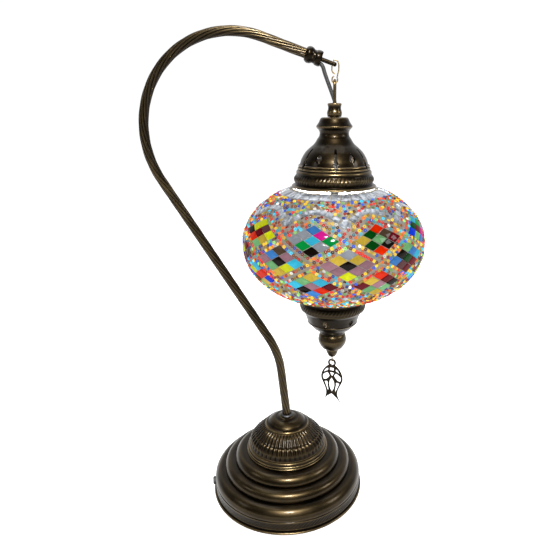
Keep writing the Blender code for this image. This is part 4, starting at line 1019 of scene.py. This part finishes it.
for k in range(9):
    for i in range(9):
        share = (i - 4.0) / 4.3
        phi = -14.0 + 40.0 * k + share * 20.0
        s = 50.0 - 15.6 * share * share
        r = on_globe(phi, s, 0.0)[1]
        slope = math.atan2(-2.0 * 15.6 * share, math.radians(20.0) * r)
        mirror_tile(phi, s, 2.9, 2.6, slope)
    mirror_tile(6.3 + 40.0 * k, 39.5, 2.3, 2.5)
    for i in (-1, 1):
        mirror_tile(6.3 + 40.0 * k + i * 6.5, -41.0, 3.0, 2.5, -0.7 * i)
    mirror_tile(6.3 + 40.0 * k, -36.5, 2.6, 2.3)
for i in range(33):
    mirror_tile(i * 360.0 / 33.0, 70.0, 4.1, 5.2, 0.0, 0.75)
# The mirror tiles are given a painted glow in their silvered and tarnished colour, each tile's brightness set
# at random. The same colour is also their surface colour.
silver, shader, place = finish(
    "mirror_glass", {"Metallic": 0.35, "Coat Weight": 0.4, "Coat Roughness": 0.05, "Emission Strength": 0.55}
)
paint = place.node("ShaderNodeAttribute", {"attribute_name": "tint"}, {}, "Color")
tarnish = place.node(
    "ShaderNodeTexNoise", {}, {"Vector": place, "Scale": 150.0, "Detail": 5.0, "Distortion": 2.0}
)
tarnish_and_glow = ((tarnish - 0.3) * 1.8).held().between((0.10, 0.12, 0.15, 1.0), (0.85, 0.91, 1.0, 1.0))
tarnish_and_glow = place.node(
    "ShaderNodeMix", {"data_type": "RGBA", "blend_type": "MULTIPLY"}, {0: 1.0, 6: paint, 7: tarnish_and_glow}, 2
)
lay_on(shader, "Base Color", deepened(tarnish_and_glow, 0.5))
lay_on(shader, "Emission Color", tarnish_and_glow)
lay_on(shader, "Roughness", 0.08 + tarnish * 0.25)
silver.cycles.emission_sampling = "NONE"
mirrors_piece = as_piece("mirror_tiles", mirrors, silver)
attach(mirrors_piece, "shade")

# ------------------------ glass beads
# Seed beads of coloured glass with their holes outward, pushed into the grout everywhere between the tiles.

BEAD_SIZE = 3.1
HALF_WIDE = 1.5 * TILE_DEGREES
HALF_TALL = 1.5 * TILE_TALL
BEAD_PAINTS = (
    [(226, 30, 22)] * 5 + [(250, 120, 20)] * 4 + [(250, 205, 40)] * 6 + [(60, 200, 235)] * 3 +
    [(40, 90, 220)] * 3
    + [(120, 70, 40)] * 2 + [(150, 215, 120)] * 2 + [(240, 240, 232)]
)


def is_free(phi, s):
    """Whether a bead fits here between the tiles."""
    r = on_globe(phi, s, 0.0)[1]
    for first_phi, row_s in DIAMOND_ROWS:
        off = (phi - first_phi + 20.0) % 40.0 - 20.0
        if abs(off) / HALF_WIDE + abs(s - row_s) / HALF_TALL < 1.0 + 1.6 / HALF_TALL:
            return False
    for there, height, size in mirror_cells:
        if abs(s - height) < size + 1.5:
            off = math.radians((phi - there + 180.0) % 360.0 - 180.0) * r
            if math.hypot(off, s - height) < size + 1.3:
                return False
    return True


BEAD_CELL = 4.0  # side of the boxes that nearby beads are looked up in
BEAD_CLOSEST = 0.90  # of a bead's size, between two centres
BEAD_TRIES = 34000
bead_grid = {}
bead_spots = []
BEAD_ROWS = (1.95, 5.5)  # how far above a diamond the rows along it run


def try_bead(phi, s):
    """Add a bead where there is room for it."""
    matrix = on_globe(phi, s, 0.4)[0]
    where = matrix.translation
    key = tuple(int(c // BEAD_CELL) for c in where)
    for dx in (-1, 0, 1):
        for dy in (-1, 0, 1):
            for dz in (-1, 0, 1):
                for other in bead_grid.get((key[0] + dx, key[1] + dy, key[2] + dz), ()):
                    if (other - where).length < BEAD_SIZE * BEAD_CLOSEST:
                        return
    if is_free(phi, s):
        bead_grid.setdefault(key, []).append(where)
        bead_spots.append(matrix)


for clear_of in BEAD_ROWS:
    for first_phi, row_s in DIAMOND_ROWS:
        for k in range(9):
            for side in range(4):
                for i in range(12):
                    t = i / 11.0
                    a, b = [(0, 1), (1, 0), (0, -1), (-1, 0), (0, 1)][side:side + 2]
                    reach = 1.0 + clear_of / HALF_TALL
                    try_bead(
                        first_phi + 40.0 * k + HALF_WIDE * reach * (a[0] + (b[0] - a[0]) * t),
                        row_s + HALF_TALL * reach * (a[1] + (b[1] - a[1]) * t),
                    )
for _ in range(BEAD_TRIES):
    try_bead(rng.uniform(-180.0, 180.0), rng.uniform(-66.0, 64.5))

bead_pattern = bmesh.new()
ring_verts = [
    bead_pattern.verts.new(
        (1.02 + 0.53 * math.cos(math.tau * i / 5.0 + 0.3), 0.0, 0.53 * math.sin(math.tau * i / 5.0 + 0.3))
    )
    for i in range(5)
]
ring_edges = [bead_pattern.edges.new(pair) for pair in zip(ring_verts, ring_verts[1:] + ring_verts[:1])]
bmesh.ops.spin(
    bead_pattern, geom=ring_verts + ring_edges, cent=(0.0, 0.0, 0.0), axis=(0.0, 0.0, 1.0), angle=math.tau,
    steps=9,
    use_merge=True,
)
bmesh.ops.remove_doubles(bead_pattern, verts=bead_pattern.verts, dist=0.01)
bmesh.ops.recalc_face_normals(bead_pattern, faces=bead_pattern.faces)
bead_pattern.verts.layers.float_vector.new("tint")
pattern_mesh = bpy.data.meshes.new("bead_pattern")
bead_pattern.to_mesh(pattern_mesh)
bead_pattern.free()

# The beads are given a painted glow in their own colour, standing in for the bulb's light shining through
# them. Their surface colour is that colour cut to 0.35.
bead_glass, shader, place = finish(
    "bead_glass",
    {"Roughness": 0.12, "Transmission Weight": 0.3, "IOR": 1.0, "Coat Weight": 0.15, "Emission Strength":
    0.62},

)
paint = place.node("ShaderNodeAttribute", {"attribute_name": "tint"}, {}, "Color")
milky = place.node("ShaderNodeTexNoise", {}, {"Vector": place, "Scale": 320.0})
bead_tone = (milky * 0.10).between(paint, (0.95, 0.90, 0.80, 1.0))
lay_on(shader, "Base Color", deepened(bead_tone, 0.35))
lay_on(shader, "Emission Color", bead_tone)
bead_glass.cycles.emission_sampling = "NONE"
third = len(bead_spots) // 3 + 1
for part in range(3):
    beads = bmesh.new()
    for matrix in bead_spots[part * third:(part + 1) * third]:
        made = len(beads.verts)
        beads.from_mesh(pattern_mesh)
        beads.verts.ensure_lookup_table()
        bead_colour = beads.verts.layers.float_vector["tint"]
        turn = Matrix.Rotation(rng.uniform(-0.5, 0.5), 4, "X")
        turn = turn @ Matrix.Rotation(rng.uniform(-0.5, 0.5), 4, "Y")
        grow = rng.uniform(0.92, 1.06)
        colour = Vector(linear(*rng.choice(BEAD_PAINTS))[:3]) * rng.choice((0.35, 0.6, 0.85, 1.1, 1.4))
        for vert in beads.verts[made:]:
            vert.co = (matrix @ (turn @ (vert.co * grow))) * MM
            vert[bead_colour] = colour
    beads_piece = as_piece(f"beads_{part + 1}", beads, bead_glass, 80.0)
    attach(beads_piece, "shade")
bpy.data.meshes.remove(pattern_mesh)

# ------------------------ lower cap
# A smaller pressed cap closes the globe from below, drawn up by the tie rod that runs through its middle.

LOWER_FLANGE_Z = GLOBE_Z - globe_height(SKIN_BOTTOM) - GAP
LOWER_RIBS = 58
lower_outline = curve_through(
    [(31.0, 0.0), (34.5, 0.0), (36.0, 0.2), (36.2, 0.8), (35.6, 1.4), (33.8, 2.2)], 3
)
lower_outline += curve_through([(33.8, 2.2), (32.6, 3.0), (32.4, 4.4), (32.9, 5.8)], 2)
lower_outline += [(33.0 + 0.9 * math.sin(math.pi * i / 14.0), 6.2 + 0.5 * i) for i in range(15)]
lower_outline += curve_through([(32.0, 13.6), (31.6, 14.3), (30.2, 15.4), (29.2, 17.0)], 2)
lower_outline += curve_through([(29.2, 17.0), (27.6, 21.0), (26.4, 24.6), (25.6, 26.8)], 4)
lower_outline += curve_through([(25.6, 26.8), (26.0, 27.6), (25.4, 28.4), (24.3, 28.9)], 2)
lower_outline += curve_through(
    [(24.3, 28.9), (22.6, 31.4), (19.4, 34.8), (16.4, 37.0), (14.4, 39.0), (13.4, 40.6)], 4
)
lower_outline += [
    (13.4, 40.6), (2.8, 40.6), (2.8, 38.8), (9.0, 38.8), (14.6, 36.4), (20.4, 31.6), (24.0, 25.6)
]
lower_outline += [(26.2, 20.0), (27.6, 16.6), (31.0, 11.0)]
lower = spun([(r, LOWER_FLANGE_Z - d) for r, d in lower_outline], LOWER_RIBS * 4, PLUMB)
rib_band(lower, PLUMB, LOWER_RIBS, LOWER_FLANGE_Z - 13.0, LOWER_FLANGE_Z - 6.2, 0.8, 1.2)
lower_piece = brass_piece("lower_cap_pressed", lower, 1.6, 2, "lower_cap", "lower_cap", 0.7, body="shade")
pierce(
    lower_piece, [(0, 4.2), (-3, 0), (0, -4.2), (3, 0)], LOWER_FLANGE_Z - 23.0, [-108 + 60 * i for i in
    range(6)], 45.0
)

# ------------------------ finial
# A turned knob, a small cone and a wire eye, screwed one under the other on the end of the tie rod.

KNOB_TOP = LOWER_FLANGE_Z - 40.6 - 0.3
knob_outline = curve_through(
    [(9.6, 0.0), (12.0, 0.4), (13.6, 2.2), (14.4, 5.2), (14.8, 7.9), (14.2, 11.0), (12.6, 14.4),
    (10.4, 17.2), (7.2, 18.6)], 4
)
knob_outline = [(1.9, 0.0)] + knob_outline + [(7.2, 18.6), (1.9, 18.6)]
knob = spun([(r, KNOB_TOP - d) for r, d in knob_outline], 72, PLUMB)
brass_piece("knob_turned", knob, 1.8, 2, "finial_knob", "knob", 0.7, body="shade")

CONE_TOP = KNOB_TOP - 18.6 - 0.3
cone_outline = curve_through(
    [(6.6, 0.0), (6.7, 1.0), (6.4, 2.2), (5.7, 4.6), (4.6, 7.0), (3.6, 8.6), (2.6, 9.2)], 3
)
cone_outline = [(0.95, 0.0)] + cone_outline + [(2.6, 9.2), (0.95, 9.2)]
cone = spun([(r, CONE_TOP - d) for r, d in cone_outline], 56, PLUMB)
brass_piece("cone_turned", cone, 1.8, 2, "finial_cone", "cone", 0.7, body="shade")

EYE_Z = CONE_TOP - 9.2 - 3.5
eye_points = [Vector((HANG_X, 2.6 * math.cos(a), EYE_Z + 2.6 * math.sin(a))) for a in
              [math.pi / 2.0 + 0.25 + (math.tau - 0.5) * i / 24.0 for i in range(25)]]
eye = swept("eye", eye_points, circle(0.6, 12))
brass_piece("eye_wire", eye, 1.0, 2, "finial_eye", "eye", 0.9, body="shade")

# ------------------------ tulip pendant
# A pierced tulip cut from brass sheet, darkened, swinging from the wire eye.

TULIP_Z = EYE_Z - 2.6
TULIP_YAW = math.radians(-22.0)


def bend_through(runs):
    """Points along joined Bezier runs of (across, up) corners, the last one left off."""
    points = []
    for run in runs:
        points += [(p.x, p.y) for p in interpolate_bezier(*[Vector((*c, 0.0)) for c in run], 13)[:-1]]
    return points


tulip_side = bend_through([
    ((3.4, -5.2), (8.6, -8.0), (12.4, -15.0), (12.0, -20.5)),
    ((12.0, -20.5), (11.4, -27.0), (1.6, -36.0), (8.6, -46.6)),
    ((8.6, -46.6), (5.6, -42.6), (2.2, -40.2), (0.0, -38.8)),
])
crown = [(4.3 * math.cos(a), -1.9 + 4.3 * math.sin(a)) for a in
         [math.radians(220.0 - 260.0 * i / 20.0) for i in range(21)]]
outer = crown + tulip_side + [(0.0, -38.8)] + [(-x, y) for x, y in reversed(tulip_side)]
almond = bend_through([((0.0, -19.8), (4.6, -24.5), (4.0, -31.5), (0.0, -36.8))])
almond = almond + [(0.0, -36.8)] + [(-x, y) for x, y in reversed(almond[1:])]
windows = [
    [(2.8 * math.cos(math.tau * i / 24.0), -1.9 + 2.8 * math.sin(math.tau * i / 24.0)) for i in range(24)],
    almond,
    [(-2.2, -7.6), (2.2, -7.6), (2.7, -11.6), (-2.7, -11.6)],
    [(0, -13.2), (2.8, -13.5), (1.2, -17), (0, -18.2), (-1.2, -17), (-2.8, -13.5)],
]
for side in (
    [(3.9, -8.3), (6.6, -9.7), (9.2, -13.6), (9.6, -15.2), (6.9, -13.1), (4.3, -12.0)],
    [(4.5, -13.8), (7, -14.8), (10.2, -17.4), (10.6, -20.8), (9.4, -23.8), (6.4, -22.9), (3.7, -20),
    (2.3, -17.6)],
    [(8.9, -25.4), (6.7, -31), (4.9, -35.6), (3.9, -37.6), (3.6, -34), (4.5, -29), (4.6, -24.9),
    (6.2, -24.6)],
):
    windows += [side, [(-x, y) for x, y in side]]
drawn = bpy.data.curves.new("tulip_drawn", "CURVE")
drawn.dimensions = "2D"
drawn.fill_mode = "BOTH"
drawn.extrude = 0.5 * MM
drawn.bevel_depth = 0.12 * MM
drawn.offset = 0.1 * MM
for outline in [outer, *windows]:
    line = drawn.splines.new("POLY")
    line.points.add(len(outline) - 1)
    for slot, (x, y) in zip(line.points, outline):
        slot.co = (x * MM, y * MM, 0.0, 1.0)
    line.use_cyclic_u = True
drawn_object = bpy.data.objects.new("tulip_drawn", drawn)
scene.collection.objects.link(drawn_object)
bpy.context.view_layer.update()
drawn_mesh = bpy.data.meshes.new_from_object(
    drawn_object.evaluated_get(bpy.context.evaluated_depsgraph_get())
)
tulip = bmesh.new()
tulip.from_mesh(drawn_mesh)
bpy.data.objects.remove(drawn_object)
bpy.data.meshes.remove(drawn_mesh)
bmesh.ops.remove_doubles(tulip, verts=tulip.verts, dist=0.000004)
bmesh.ops.recalc_face_normals(tulip, faces=tulip.faces)
tulip.transform(Matrix.Rotation(math.pi / 2.0, 4, "X"))
tulip.transform(Matrix.Translation((HANG_X * MM, 0.0, TULIP_Z * MM)) @ Matrix.Rotation(TULIP_YAW, 4, "Z"))
brass_piece("tulip_cut", tulip, 0.8, 0, "tulip_pendant", "tulip", 0.6, body="tulip")
